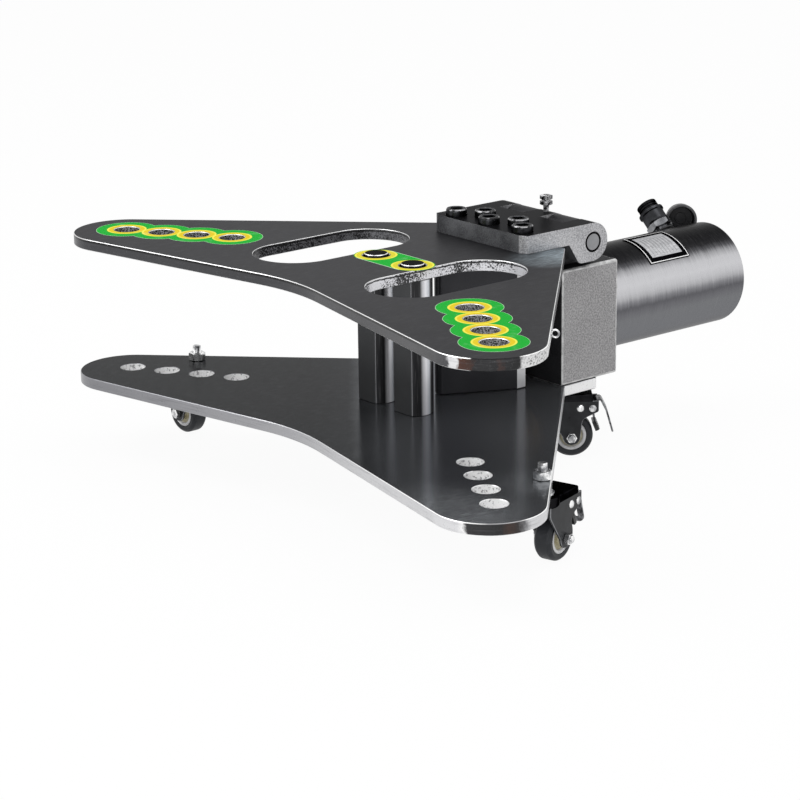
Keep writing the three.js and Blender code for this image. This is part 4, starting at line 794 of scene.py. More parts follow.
@dataclass(frozen=True)
class ReflectionPaintedTube(Finish):
    """Steel brushed round a tube, with the long light and dark bands that such a finish shows."""

    axis_z: float
    bands: Bands
    roughness: float = 0.3

    def lay(self, bench: NodeBench) -> None:
        """Bands by angle, and lines round the tube."""
        across, _, up = bench.axes()
        soft = (bench.noise(2.4, 3, (0.02, 1, 0.02)) - 0.5) * (0.02 * 360)
        base = bench.bands(across.angle(up - self.axis_z) * (360 / TURN) + soft, HALF_TURN, self.bands)
        lines = bench.noise(0.5, 3, (0.03, 1, 0.03), 0.7)
        worn = (lines.rise(0.5, 0.8) * 0.06, 0xFFFFFF)
        bench.surface(Base_Color=bench.over(base, worn, ((1 - lines.rise(0.25, 0.5)) * 0.1, 0x101012)),
            Roughness=self.roughness + (lines - 0.5) * 0.2, Metallic=1.0, Specular_Tint=grey(0.6),
            Normal=bench.bump(lines, 0.015))


@dataclass(frozen=True)
class DrawnBar(Finish):
    """A drawn round bar that stands upright, with bands of light and dark round its axis."""

    middle_x: float
    middle_y: float
    bands: Bands
    roughness: float = 0.25

    def lay(self, bench: NodeBench) -> None:
        """Bands by angle, and lines along the bar."""
        across, deep, _ = bench.axes()
        angle = (across - self.middle_x).angle(self.middle_y - deep) * (360 / TURN)
        lines = bench.noise(1.2, 3, (1, 1, 0.04))
        bench.surface(Base_Color=bench.over(bench.bands(angle, HALF_TURN, self.bands),
                (lines.rise(0.5, 0.8) * 0.08, 0xE0E0E2)), Roughness=self.roughness + lines * 0.1, Metallic=0.5,
            Normal=bench.bump(lines, 0.015))


@dataclass(frozen=True)
class Moulded(Finish):
    """Moulded rubber or plastic with a slight sheen and a fine pebble."""

    colour: int
    worn: int
    roughness: float = 0.5
    pebble: float = 0.8
    pebble_height: float = 0.03
    patch: float = 9.0
    gloss: float = 0.4

    def lay(self, bench: NodeBench) -> None:
        """Worn patches over a pebbled ground."""
        patches = bench.noise(self.patch, 4)
        bench.surface(Base_Color=bench.over(tone(self.colour), (patches.rise(0.45, 0.8), self.worn)),
            Roughness=self.roughness + (patches - 0.5) * 0.2, Metallic=0.0, Specular_IOR_Level=self.gloss,
            Normal=bench.bump(bench.noise(self.pebble, 2), self.pebble_height))


@dataclass(frozen=True)
class HoleLabel(Finish):
    """Printed film round a row of holes: a ring at each hole on a coloured ground with a pale outline."""

    centres: tuple[Point, ...]
    ring_from: float
    ring_to: float
    ground_to: float
    ring: int = 0xDFC52A
    border: int = 0xEFE657
    ground: int = 0x1FA836
    outline: int = 0xC4E4C4
    straight: Point | None = None

    def lay(self, bench: NodeBench) -> None:
        """Ring and ground by the distance from the nearest hole."""
        flat = bench.node("ShaderNodeVectorMath", {"operation": "MULTIPLY"}, {0: bench.place(), 1: (1, 1, 0)})
        nearest: Signal | None = None
        for x, y in self.centres:
            ends = {0: flat.outputs[0], 1: (x * MM, y * MM, 0)}
            away = bench.node("ShaderNodeVectorMath", {"operation": "DISTANCE"}, ends)
            reach = Signal(bench, away.outputs["Value"]) * (1 / MM)
            nearest = reach if nearest is None else nearest.least(reach)
        rim = nearest.rise(self.ground_to - 0.5, self.ground_to - 0.3)
        ground = bench.over(tone(self.ground), (rim, self.outline))
        if self.straight:
            middle, half = self.straight
            rim = (bench.axes()[1] - middle).size().rise(half - 1.0, half - 0.7)
            ground = bench.over(ground, (rim, self.outline))
        paler = nearest.between(self.ring_to - 2.1, self.ring_to, 0.2)
        cut = 1 - nearest.rise(self.ring_from + 0.3, self.ring_from + 0.7)
        ring = bench.over(tone(self.ring), (paler, self.border), (cut, 0xC8C06A))
        grain = bench.noise(14, 4)
        base = bench.mix(1 - nearest.rise(self.ring_to - 0.15, self.ring_to + 0.15), ground, ring)
        bench.surface(Base_Color=bench.over(base, (grain.rise(0.55, 0.8) * 0.1, 0xFFFFFF)),
            Roughness=0.6 + grain * 0.1, Metallic=0.0, Specular_IOR_Level=0.03)


@dataclass(frozen=True)
class BareNamePlate(Finish):
    """An etched plate with a black border, fine outlines and plain ruled lines, but no words.

    It reads the piece's own map: across runs round the tube and up along it, in millimetres.
    """

    width: float
    height: float
    border: float = 7.5
    row: float = 5.2

    def lay(self, bench: NodeBench) -> None:
        """Border, outline, ruled lines and boxes over brushed silver."""
        spot = bench.parts(bench.node("ShaderNodeUVMap", {"uv_map": "sheet"}).outputs[0])
        across, up = spot[0] * self.width, spot[1] * self.height
        inset = across.least(self.width - across).least(up.least(self.height - up))
        field_mask = inset.rise(self.border - 0.15, self.border + 0.15)
        rows = ((up - self.border - 3) * (1 / self.row)).fraction()
        inside = inset.rise(self.border + 2.6, self.border + 2.8)
        ruled = rows.between(0.42, 0.5, 0.03) * inside
        box = across.between(self.width * 0.26, self.width * 0.6, 0.1) * rows.between(0.62, 0.9, 0.04) * inside
        grain = bench.noise(0.5, 3, (1, 0.06, 1))
        silver = bench.over(tone(0xA4A5A8), (grain.rise(0.3, 0.75), 0xD6D6D8))
        black = 0x0C0C0E
        base = bench.mix(field_mask, tone(black), silver)
        lines = ((inset.between(0.7, 1.7, 0.1), 0xF4F4F4), (ruled * 0.8, black), (box * 0.35, black))
        bench.surface(Base_Color=bench.over(base, *lines), Roughness=0.5 - field_mask * 0.14 + grain * 0.12,
            Metallic=1 - field_mask * 0.3, Specular_IOR_Level=0.1, Specular_Tint=grey(0.3),
            Normal=bench.bump(grain, 0.01))


class Look(Enum):
    """The finishes by name."""

    # Polished chamfers whose pure white is partly a painted highlight.
    BEVEL = Metal("polished_bevel", 0xFFFFFF, 0xC4C4C6, 0.22, metallic=0.8, patch=6, contrast=1.2, grain=1.0)
    HOLE_WALL = Mottled("hole_wall", 0xA0A0A2, 0x161618, flake=1.5, share=0.5)
    # Its walls carry a painted shade on faces turned to +X.
    BED_HOLE_WALL = Mottled("bed_hole_wall", 0xFFFFFF, 0x8E8E90, flake=3.4, share=0.7, metallic=0.15,
        shaded=0.2)
    # Lit and shaded copies of one slot wall: painted light in the right slot, painted shade in the left one.
    SLOT_BRIGHT = Mottled("slot_bright", 0xE4E4E8, 0x1C1C1E, flake=1.9, share=0.58, drift=1.0,
        seam=(253.6, 255.2))
    SLOT_DARK = Mottled("slot_dark", 0x707074, 0x19191B, flake=1.6, share=0.5, drift=0.3, seam=(253.6, 255.2))
    LEAF_TOP = Metal("leaf_top", 0x38383A, 0x242426, 0.34, glare=0.4, patch=40, contrast=0.8, grain=1.6,
        speckle=1.0)
    # LEAF_FACE and LEAF_SIDE are shaded and lit copies of the leaf's steel: painted shade and painted light.
    LEAF_FACE = Metal("leaf_face", 0x7C7D80, 0x46474A, 0.4, glare=0.6, metallic=0.7, patch=30, contrast=1.0,
        grain=1.7, speckle=1.3)
    LEAF_SIDE = Metal("leaf_side", 0xCCCCCE, 0x7E7E82, 0.4, glare=0.8, metallic=0.5, patch=30, contrast=0.3,
        grain=1.7, speckle=1.6)
    PIN_END = Metal("pin_end", 0x9A9B9D, 0x808184, 0.4, glare=0.8, metallic=0.5, patch=20, contrast=0.5,
        grain=1.0, speckle=0.6)
    KNUCKLE = Metal("knuckle", 0x464648, 0x323234, 0.4, glare=0.6, patch=40, contrast=0.8, grain=1.6,
        speckle=1.0)
    KNURLED = Metal("knurled_steel", 0xD0D0D2, 0x161618, 0.28, metallic=0.8, patch=3.2, contrast=3.0, grain=0.8)
    CAST = Metal("cast_head", 0xB6B5B6, 0x7C7B7C, 0.6, glare=0.7, metallic=0.4, patch=60, contrast=0.2,
        grain=1.8, grain_height=0.2, speckle=1.5)
    # A dark copy of the cast head's grey: painted shade for its front and top under the upper plate.
    CAST_SHADE = Metal("cast_face", 0x2E2E30, 0x1C1C1E, 0.6, glare=0.3, metallic=0.4, patch=60, grain=1.8,
        grain_height=0.2, speckle=1.0)
    CAST_EDGE = Metal("cast_edge", 0xDCDCDC, 0x9A9A9A, 0.4, glare=0.8, metallic=0.4, patch=8, contrast=1.0,
        grain=1.0, speckle=0.6)
    BLACK_STEEL = Metal("black_steel", 0x222224, 0x101011, 0.25, glare=0.35, patch=8, contrast=0.8, grain=0.7)
    SCREW_BLACK = Metal("screw_black", 0x454649, 0x1A1A1C, 0.25, glare=0.5, patch=22, contrast=1.0, grain=0.7)
    # Painted highlight: broken bright arcs on the screw heads' chamfers.
    SCREW_RIM = Metal("screw_rim", 0x98989A, 0x161618, 0.3, metallic=0.6, patch=9, contrast=5.0, grain=1.0)
    ADAPTER = Metal("adapter_steel", 0xA8A9AC, 0x5A5B5E, 0.22, metallic=0.9, patch=20, contrast=1.4, grain=0.7)
    BRIGHT_STEEL = Metal("bright_steel", 0xC8C8CC, 0x84868A, 0.25, patch=10, contrast=1.2, grain=0.7)
    GREY_STEEL = Metal("grey_steel", 0x8C8D90, 0x56575A, 0.3, glare=0.8, patch=12, contrast=1.1, grain=0.7)
    POST_FLAT = Metal("post_flat", 0x505152, 0x3E3F41, 0.38, glare=0.5, metallic=0.6, patch=60, contrast=0.5,
        grain=1.2, speckle=0.5)
    PUNCH_FACE = Metal("punch_face", 0x3C3C3F, 0x2A2A2D, 0.34, glare=0.6, metallic=0.6, patch=60, contrast=0.5,
        grain=1.2, speckle=0.3)
    PUNCH_SIDE = Metal("punch_side", 0xE4E4E6, 0xC0C0C2, 0.3, metallic=0.3, patch=40, contrast=0.5, grain=0.9)
    ZINC = Metal("zinc_plate", 0xFAFAFA, 0x88898C, 0.16, metallic=0.9, patch=9, contrast=2.0, grain=0.8)
    # A darker copy of zinc for the brake levers: a painted reflection of dark surroundings.
    DULL_ZINC = Metal("dull_zinc", 0x8E8F92, 0x2C2D30, 0.3, metallic=0.7, patch=6, contrast=1.9, grain=0.8)
    BRONZE = Metal("bush_bronze", 0xB58D52, 0x83632F, 0.32, patch=14, contrast=1.0, grain=0.9)
    SPRING = Metal("spring_steel", 0x6C6E72, 0x46484C, 0.35, patch=9, contrast=1.0, grain=0.9)
    FORK = Metal("fork_enamel", 0x2E2F32, 0x1C1D1F, 0.3, glare=0.5, metallic=0.3, patch=14, contrast=0.8,
        grain=0.8, speckle=0.2)
    FORK_EDGE = Metal("fork_edge", 0x9A9B9E, 0x4A4B4E, 0.3, metallic=0.6, patch=8, contrast=1.2, grain=0.8)
    RUBBER_RIM = Moulded("rubber_rim", 0x4E4E50, 0x6A6A6C, 0.5, gloss=0.35)
    BLACK_RUBBER = Moulded("black_rubber", 0x17171A, 0x2A2A2D, 0.42, gloss=0.35)
    SEAL_RUBBER = Moulded("seal_rubber", 0x1C1C1E, 0x2C2C2E, 0.7)
    TYRE = Moulded("tyre_rubber", 0x232529, 0x303236, 0.5, patch=7, gloss=0.3)
    HUB_RIM = Moulded("hub_rim", 0xD2D2D4, 0xEAEAEA, 0.34, patch=8)
    HUB_WEB = Moulded("hub_web", 0xB4AC8C, 0xDCD8C8, 0.4, patch=9)
    BLACK_PLASTIC = Moulded("black_plastic", 0x141416, 0x222225, 0.3, gloss=0.5)


class Finishes:
    """Builds each finish once and hands it out again."""

    def __init__(self) -> None:
        """Starts with none built."""
        self._built: dict[str, bpy.types.Material] = {}

    def get(self, look: "Look | Finish") -> bpy.types.Material:
        """The material of a finish, given as a Look or as a finish of its own.

        Args:
            look: A named look, or a finish of its own.

        Returns:
            Its material.
        """
        finish = look.value if isinstance(look, Look) else look
        if finish.name not in self._built:
            self._built[finish.name] = finish.material()
        return self._built[finish.name]


class Pattern(Enum):
    """How a template is repeated."""

    POINTS = "points"
    RING = "ring"
    ROW = "row"


def linked(name: str, data: object) -> bpy.types.Object:
    """A new object in the scene."""
    made = bpy.data.objects.new(name, data)
    bpy.context.scene.collection.objects.link(made)
    return made


def seen_by_eye(bench: NodeBench) -> Signal:
    """One for rays that come from the camera, off a mirror or through glass, and zero for the rest."""
    rays = bench.node("ShaderNodeLightPath").outputs
    seen = Signal(bench, rays["Is Camera Ray"]).most(Signal(bench, rays["Is Glossy Ray"]))
    return seen.most(Signal(bench, rays["Is Transmission Ray"]))


class Bench:
    """Turns forms in machine millimetres into pieces of the packed frame."""

    def __init__(self, shift_y: float) -> None:
        """Holds the packed frame's shift along Y, in millimetres."""
        self.to_frame = Matrix.Scale(MM, 4) @ shift(0, shift_y, 0)
        self.shift_y = shift_y
        self.finishes = Finishes()
        self.trees: dict[Pattern, bpy.types.NodeTree] = {}
        self.count = 0

    def solid(self, name: str, form: Form) -> bpy.types.Object:
        """A linked object in millimetres, before it is finished.

        Args:
            name: The object's name.
            form: Its points and faces, in millimetres.

        Returns:
            The object.
        """
        mesh = bpy.data.meshes.new(name)
        mesh.from_pydata(form.points, [], form.faces)
        mesh.polygons.foreach_set("material_index", form.tags)
        mesh.update()
        return linked(name, mesh)

    def bake(self, made: bpy.types.Object) -> None:
        """Turns an object's modifiers into its mesh.

        Args:
            made: The object that keeps its result.
        """
        bpy.context.view_layer.update()
        depsgraph = bpy.context.evaluated_depsgraph_get()
        fresh = bpy.data.meshes.new_from_object(made.evaluated_get(depsgraph), depsgraph=depsgraph)
        made.modifiers.clear()
        old = made.data
        made.data = fresh
        bpy.data.meshes.remove(old)

    def carve(self, made: bpy.types.Object, cutters: Sequence[Form]) -> None:
        """Cuts forms out of an object, all of them in millimetres.

        Args:
            made: What is cut.
            cutters: What is taken away.
        """
        tools = []
        for i, cutter in enumerate(cutters):
            tool = self.solid(f"{made.name}_cutter_{i}", cutter)
            cut = made.modifiers.new("cut", "BOOLEAN")
            cut.operation = "DIFFERENCE"
            cut.solver = "EXACT"
            cut.object = tool
            tools.append(tool)
        self.bake(made)
        for tool in tools:
            bpy.data.objects.remove(tool)

    def ease(self, made: bpy.types.Object, width: float, segments: int = 2, finish_slot: int = -1) -> None:
        """Rounds the sharp edges of an object in millimetres.

        Args:
            made: The object.
            width: How wide the rounds are.
            segments: Their number of faces.
            finish_slot: The number of the new faces, or -1.
        """
        while len(made.data.materials) <= finish_slot:
            made.data.materials.append(None)
        bevel = made.modifiers.new("ease", "BEVEL")
        bevel.width = width
        bevel.segments = segments
        bevel.limit_method = "ANGLE"
        bevel.angle_limit = BEVEL_ANGLE
        bevel.material = finish_slot
        bevel.use_clamp_overlap = True
        self.bake(made)

    def settle(self, made: bpy.types.Object, looks: Sequence[Look | Finish], body: str, slot: str,
            stands_for: Sequence[str] = ()) -> bpy.types.Object:
        """Moves a finished object into the packed frame and puts it on its body.

        Args:
            made: The object, in millimetres.
            looks: The finishes that its faces' numbers pick.
            body: The body that it rides on.
            slot: The record's material slot.
            stands_for: The CAD nodes that it replaces.

        Returns:
            The same object.
        """
        mesh = made.data
        mesh.transform(self.to_frame)
        picks = [face.material_index for face in mesh.polygons]
        mesh.materials.clear()
        for look in looks:
            mesh.materials.append(self.finishes.get(look))
        mesh.polygons.foreach_set("material_index", picks)
        mesh.polygons.foreach_set("use_smooth", [True] * len(mesh.polygons))
        mesh.set_sharp_from_angle(angle=SHARP_ANGLE)
        weigh = made.modifiers.new("weigh", "WEIGHTED_NORMAL")
        weigh.keep_sharp = True
        self.bake(made)
        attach(made, body)
        if stands_for:
            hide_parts(*stands_for)
        self.count += 1
        LOG.info("%s: %d faces on %s", made.name, len(made.data.polygons), body)
        return made

    def piece(self, name: str, form: Form, looks: Sequence[Look | Finish], body: str, slot: str,
            stands_for: Sequence[str] = ()) -> bpy.types.Object:
        """Makes and settles a piece in one go; the arguments are those of solid and settle."""
        return self.settle(self.solid(name, form), looks, body, slot, stands_for)

    def _tree(self, pattern: Pattern) -> bpy.types.NodeTree:
        """The tree of a pattern, made when it is first asked for.

        Args:
            pattern: How a template is repeated.

        Returns:
            The node tree.
        """
        if pattern in self.trees:
            return self.trees[pattern]
        tree = bpy.data.node_groups.new("repeat_" + pattern.value, "GeometryNodeTree")
        nodes = NodeBench(tree)
        kinds = ("Geometry", "Object", "Material", "Int", "Float", "Vector")
        for name, kind in zip(("Geometry", "Template", "Finish", "Count", "Radius", "Step"), kinds):
            tree.interface.new_socket(name, in_out="INPUT", socket_type="NodeSocket" + kind)
        tree.interface.new_socket("Geometry", in_out="OUTPUT", socket_type="NodeSocketGeometry")
        given = nodes.node("NodeGroupInput").outputs
        template = nodes.node("GeometryNodeObjectInfo", {}, {"Object": given["Template"]})
        spread: dict[object, object] = {"Instance": template.outputs["Geometry"]}
        if pattern is Pattern.POINTS:
            spread["Points"] = given["Geometry"]
        elif pattern is Pattern.RING:
            inputs = {"Vertices": given["Count"], "Radius": given["Radius"]}
            spread["Points"] = nodes.node("GeometryNodeMeshCircle", {"fill_type": "NONE"}, inputs).outputs[0]
            index = nodes.node("GeometryNodeInputIndex").outputs[0]
            angle = nodes.math("DIVIDE", index, given["Count"]) * TURN
            spread["Rotation"] = nodes.node("ShaderNodeCombineXYZ", {}, {2: angle}).outputs[0]
        else:
            inputs = {"Count": given["Count"], "Offset": given["Step"]}
            spread["Points"] = nodes.node("GeometryNodeMeshLine", {"mode": "OFFSET"}, inputs).outputs[0]
        placed = nodes.node("GeometryNodeInstanceOnPoints", {}, spread)
        real = nodes.node("GeometryNodeRealizeInstances", {}, {"Geometry": placed.outputs[0]})
        finish = {"Geometry": real.outputs[0], "Material": given["Finish"]}
        dressed = nodes.node("GeometryNodeSetMaterial", {}, finish)
        nodes.node("NodeGroupOutput", {}, {0: dressed.outputs[0]})
        self.trees[pattern] = tree
        return tree

    def grow(self, name: str, pattern: Pattern, template: Form, look: Look, body: str, slot: str,
            stands_for: Sequence[str] = (), count: int = 1, radius: float = 0.0,
            step: tuple[float, float, float] = (0.0, 0.0, 0.0), points: Sequence[Corner] = ((0, 0, 0),),
            place: Matrix | None = None) -> bpy.types.Object:
        """Repeats a template by a node tree and settles the result as one plain piece.

        Args:
            name: The piece's name.
            pattern: How the template is repeated.
            template: What is repeated, in millimetres.
            look: Its finish.
            body: The body that it rides on.
            slot: The record's material slot.
            stands_for: The CAD nodes that it replaces.
            count: How many there are, in a ring or row.
            radius: Radius of the ring.
            step: From one to the next in a row.
            points: Where each one stands, for points.
            place: A move of the whole result.

        Returns:
            The settled object.
        """
        tree = self._tree(pattern)
        model = self.solid(name + "_template", template)
        carrier = bpy.data.meshes.new(name)
        carrier.from_pydata([tuple(p) for p in points], [], [])
        made = linked(name, carrier)
        grown = made.modifiers.new("grow", "NODES")
        grown.node_group = tree
        values = {"Template": model, "Finish": self.finishes.get(look), "Count": count, "Radius": radius,
            "Step": step}
        for item in tree.interface.items_tree:
            if item.in_out == "INPUT" and item.name in values:
                grown[item.identifier] = values[item.name]
        self.bake(made)
        bpy.data.objects.remove(model)
        if place is not None:
            made.data.transform(place)
        return self.settle(made, [look], body, slot, stands_for)

    def dress(self, nodes: Mapping[str, bpy.types.Object], looks: Mapping[str, Look]) -> None:
        """Gives the CAD nodes that work out of sight their finishes.

        Args:
            nodes: The CAD nodes by name.
            looks: The finish of each node that stays.
        """
        for name, look in looks.items():
            mesh = nodes[name].data
            mesh.materials.clear()
            mesh.materials.append(self.finishes.get(look))
            LOG.info("%s: CAD node in %s", name, look.value.name)


@dataclass
class Assembly:
    """What all sub-assemblies have: the bench on which their pieces are made."""

    bench: Bench


@dataclass
class PlatePair(Assembly):
    """The two bow-tie plates, their printed labels and the eye in the upper one's edge."""

    thickness: float = 12.5
    bed_z: float = 80.0
    upper_z: float = 244.3
    tip_radius: float = 58.0
    tip_x: float = 317.0
    tip_y: float = -5.0
    front_angle: float = math.radians(11.7)
    bend_radius: float = 250.0
    rear_angle: float = math.radians(45)
    upper_rear_y: float = 311.0
    tongue_half: float = 70.0
    tongue_rear_y: float = 376.0
    corner_radius: float = 6.0
    hole_radius: float = 15.0
    wing_hole_radius: float = 14.3
    end_hole_x: float = 320.0
    hole_pitch: float = 44.0
    row_angle: float = math.radians(30.4)
    post_x: float = 31.5
    post_y: float = 135.6
    slot_x: float = 99.5
    slot_y: float = 126.8
    slot_width: float = 97.0
    slot_length: float = 194.5
    bevel: float = 0.7
    hole_bevel: float = 0.45
    label_radius: float = 35.0
    label_ring: float = 22.6
    label_height: float = 0.15
    label_margin: float = 0.8
    film_margin: float = 0.9
    stadium_radius: float = 24.4
    stud_radius: float = 5.3
    studs: tuple[Point, ...] = ((-295.5, 74), (295.5, 86), (-34, 337), (34, 337))
    eye_along: float = 58.0
    eye_radius: float = 3.8
    eye_wire: float = 1.0

    def hole_row(self, side: int) -> list[Point]:
        """Middles of one wing's holes, from the tip inwards."""
        step_x = self.hole_pitch * math.cos(self.row_angle)
        step_y = self.hole_pitch * math.sin(self.row_angle)
        return [(side * (self.end_hole_x - i * step_x), i * step_y) for i in range(4)]

    def rear_x(self, y: float) -> float:
        """Where the right wing's rear edge stands at a given Y."""
        cos, sin = math.cos(self.rear_angle), math.sin(self.rear_angle)
        reach = self.tip_radius + self.tip_x * cos + self.tip_y * sin
        return (reach - y * sin) / cos

    def outline(self, rear: Sequence[Point]) -> list[Point]:
        """A whole plate outline from the points of the right rear, anticlockwise.

        Args:
            rear: Points from the wing's rear edge to the middle.

        Returns:
            The outline.
        """
        angle = self.front_angle
        reach = self.tip_radius - self.tip_x * math.sin(angle) - self.tip_y * math.cos(angle)
        bend_y = -(reach + self.bend_radius) / math.cos(angle)
        fine = math.radians(1.5)
        half = arc(0, bend_y, self.bend_radius, RIGHT_ANGLE, RIGHT_ANGLE - angle, fine)
        half += arc(self.tip_x, self.tip_y, self.tip_radius, -RIGHT_ANGLE - angle, self.rear_angle,
            math.radians(2))
        half += list(rear)
        left = [(-x, y) for x, y in reversed(half[1:])]
        return without_repeats(half + left)

    def slot(self, side: int) -> list[Point]:
        """One long slot.

        Args:
            side: 1 for the right one, -1 for the left one.

        Returns:
            Its outline.
        """
        radius = self.slot_width / 2
        reach = self.slot_length / 2 - radius
        fine = math.radians(2.5)
        upper = arc(side * self.slot_x, self.slot_y + reach, radius, 0, math.pi, fine)
        return upper + arc(side * self.slot_x, self.slot_y - reach, radius, math.pi, TURN, fine)

    def shared_holes(self) -> list[list[Point]]:
        """The wing holes and the post holes."""
        wing = [circle(x, y, self.wing_hole_radius) for x, y in self.hole_row(1) + self.hole_row(-1)]
        return wing + [circle(side * self.post_x, self.post_y, self.hole_radius) for side in (1, -1)]

    def build_bed(self) -> None:
        """The lower plate."""
        half = self.tongue_half
        radius = self.corner_radius
        rear_y = self.rear_x(0) - half
        corner = arc(half - radius, self.tongue_rear_y - radius, radius, 0, RIGHT_ANGLE, math.radians(10))
        outline = self.outline([(half, rear_y)] + corner)
        holes = self.shared_holes() + [circle(x, y, self.stud_radius, 32) for x, y in self.studs]
        tags = [2] + [3] * len(holes)
        form = slab(outline, self.bed_z, self.bed_z + self.thickness, self.bevel, holes, 1, tags, 0, 1,
            self.hole_bevel)
        tip = (self.tip_x, self.tip_y + self.bench.shift_y)
        # Painted light and shade along the lower edge, darker to the left and lighter to the right, with
        # painted reflections round the tip; the same on its bevel.
        edge = PlateEdge("lower_edge", tip,
            ((-380, 0x7A7A7E), (-200, 0x8A8A8E), (0, 0xA4A4A7), (150, 0xC6C6C8), (300, 0xCCCCCE)),
            ((-110, 0xD4D4D6), (-72, 0xD8D8DA), (-66, 0xF4F4F4), (-61, 0x2A2A2C), (-30, 0x202022),
                (-22, 0x3A2A24), (-10, 0x2A2626), (-4, 0x6C6C6E), (4, 0xD4D4D6), (180, 0xDCDCDE)), speckle=0.12,
            streak=0.35, lit_tongue_from=self.rear_x(0) - half - 2 + self.bench.shift_y)
        bevel = PlateEdge("lower_bevel", tip,
            ((-380, 0x8A8A8E), (-100, 0x9C9CA0), (60, 0xE0E0E2), (300, 0xFFFFFF)),
            ((-110, 0xFFFFFF), (-50, 0xF0F0F0), (-40, 0xA0A0A2), (-8, 0xA0A0A2), (0, 0xFFFFFF),
                (180, 0xFFFFFF)), speckle=0.15, metallic=0.8)
        way, deep = (0.61, 0.79), self.bench.shift_y
        # Painted reflection: dark where the upper plate's underside is mirrored, lighter past its edge; the
        # patches are painted glints near the right tip.
        tones = ((20, 0x232527), (56, 0x2B2D30), (84, 0x74767A), (122, 0x7E8084), (150, 0x72747A),
            (175, 0x787A80), (210, 0x84868A), (280, 0x7C7E82))
        top = PlateWithPaintedSheen("bed_top", way, tuple((place + way[1] * deep, code) for place, code in tones),
            ((316, deep - 36, 76, 1.0), (262, deep - 34, 56, 0.45), (296, deep + 66, 50, 0.5)), 0xC4C8CC,
            roughness=0.17, sheen=0.39)
        looks = [top, bevel, edge, Look.BED_HOLE_WALL]
        self.bench.piece("bed_plate", form, looks, "frame", "plate_steel", ["lower_plate"])

    def build_upper(self) -> None:
        """The upper plate."""
        corner = rounded([(self.rear_x(0), 0, 0),
                (self.rear_x(self.upper_rear_y), self.upper_rear_y, self.corner_radius),
                (0, self.upper_rear_y, 0)], closed=False)[1:-1]
        holes = self.shared_holes() + [self.slot(1), self.slot(-1)]
        tags = [2] + [3] * (len(holes) - 2) + [4, 5]
        form = slab(self.outline(corner), self.upper_z, self.upper_z + self.thickness, self.bevel, holes, 1,
            tags, 0, 1, self.hole_bevel)
        tip = (self.tip_x, self.tip_y + self.bench.shift_y)
        top = self.upper_z + self.thickness
        # Painted light along the upper edge, lighter near x 260, and painted reflections round the tip, on the
        # edge and on its bevel.
        edge = PlateEdge("upper_edge", tip,
            ((-400, 0x3A3A3D), (150, 0x3A3A3D), (260, 0x4A4A4C), (300, 0x3C3C3E)),
            ((-110, 0x3A3A3C), (-84, 0x48484B), (-80, 0xD8D8DA), (-72, 0xE4E4E4), (-69, 0x4A2A1E),
                (-58, 0x3A241C), (-54, 0x1C1C1E), (-33, 0x1C1C1E), (-30, 0x3A2824), (-26, 0x1C1C1E),
                (-10, 0x161618), (-5, 0xDADADA), (180, 0xE2E2E2)), fleck_from=-4, speckle=0.4, streak=0.25,
            seam=(top - 3.0, top + 2))
        bevel = PlateEdge("upper_bevel", tip, ((-400, 0xDCDCDC), (400, 0xE6E6E6)),
            ((-110, 0xFFFFFF), (-60, 0xFFFFFF), (-56, 0x1A1A1C), (-10, 0x1A1A1C), (-5, 0xFFFFFF),
                (180, 0xFFFFFF)), speckle=0.2, metallic=0.8)
        # The patches are a painted reflection of the leaf's lit side, beside the leaf's right end.
        face = PlateWithPaintedSheen("plate_top", (1.0, 0.0), ((-400, 0x4A4A4C), (0, 0x4B4B4D), (400, 0x424244)),
            ((99, 296 + self.bench.shift_y, 46, 1.0), (104, 262 + self.bench.shift_y, 50, 0.5)), 0xD4E2EA,
            roughness=0.42, metallic=1.0)
        looks = [face, bevel, edge, Look.HOLE_WALL, Look.SLOT_BRIGHT, Look.SLOT_DARK]
        self.bench.piece("flip_plate", form, looks, "top", "plate_steel", ["upper_plate"])

    def build_labels(self) -> None:
        """The printed films round the holes, without their words."""
        low = self.upper_z + self.thickness
        for side, word in SIDES:
            row = self.hole_row(side)
            outline = self._scalloped(row)
            inner = self.wing_hole_radius + self.label_margin
            holes = [circle(x, y, inner) for x, y in row]
            form = slab(outline, low, low + self.label_height, 0, holes)
            centres = tuple((x, y + self.bench.shift_y) for x, y in row)
            film = HoleLabel("label_" + word, centres, inner, self.label_ring, self.label_radius)
            self.bench.piece("label_" + word, form, [film], "top", "foil")
        radius = self.stadium_radius
        outline = arc(self.post_x, self.post_y, radius, -RIGHT_ANGLE, RIGHT_ANGLE, math.radians(4))
        outline += arc(-self.post_x, self.post_y, radius, RIGHT_ANGLE, 3 * RIGHT_ANGLE, math.radians(4))
        holes = [circle(side * self.post_x, self.post_y, self.hole_radius + self.film_margin)
                for side in (1, -1)]
        form = slab(outline, low, low + self.label_height, 0, holes)
        middle = self.post_y + self.bench.shift_y
        centres = ((self.post_x, middle), (-self.post_x, middle))
        film = HoleLabel("label_middle", centres, self.hole_radius + self.film_margin,
            radius - self.film_margin, 99.0, ring=0xD9CE38, straight=(middle, radius))
        self.bench.piece("label_middle", form, [film], "top", "foil")

    def _scalloped(self, row: Sequence[Point]) -> list[Point]:
        """The outline of overlapping discs round a row of holes, anticlockwise.

        Args:
            row: Middles of the holes, in order.

        Returns:
            The outline.
        """
        first, last = row[0], row[-1]
        heading = math.atan2(last[1] - first[1], last[0] - first[0])
        meet = math.acos(self.hole_pitch / 2 / self.label_radius)
        fine = math.radians(4)
        radius = self.label_radius
        outline: list[Point] = []
        for i, (x, y) in enumerate(row):
            end = heading - meet if i < len(row) - 1 else heading
            start = heading - math.pi + meet if i else heading - math.pi
            outline += arc(x, y, radius, start, end, fine)
        for i in reversed(range(len(row))):
            x, y = row[i]
            start = heading + meet if i < len(row) - 1 else heading
            end = heading + math.pi - meet if i else heading + math.pi
            outline += arc(x, y, radius, start, end, fine)
        return without_repeats(outline)

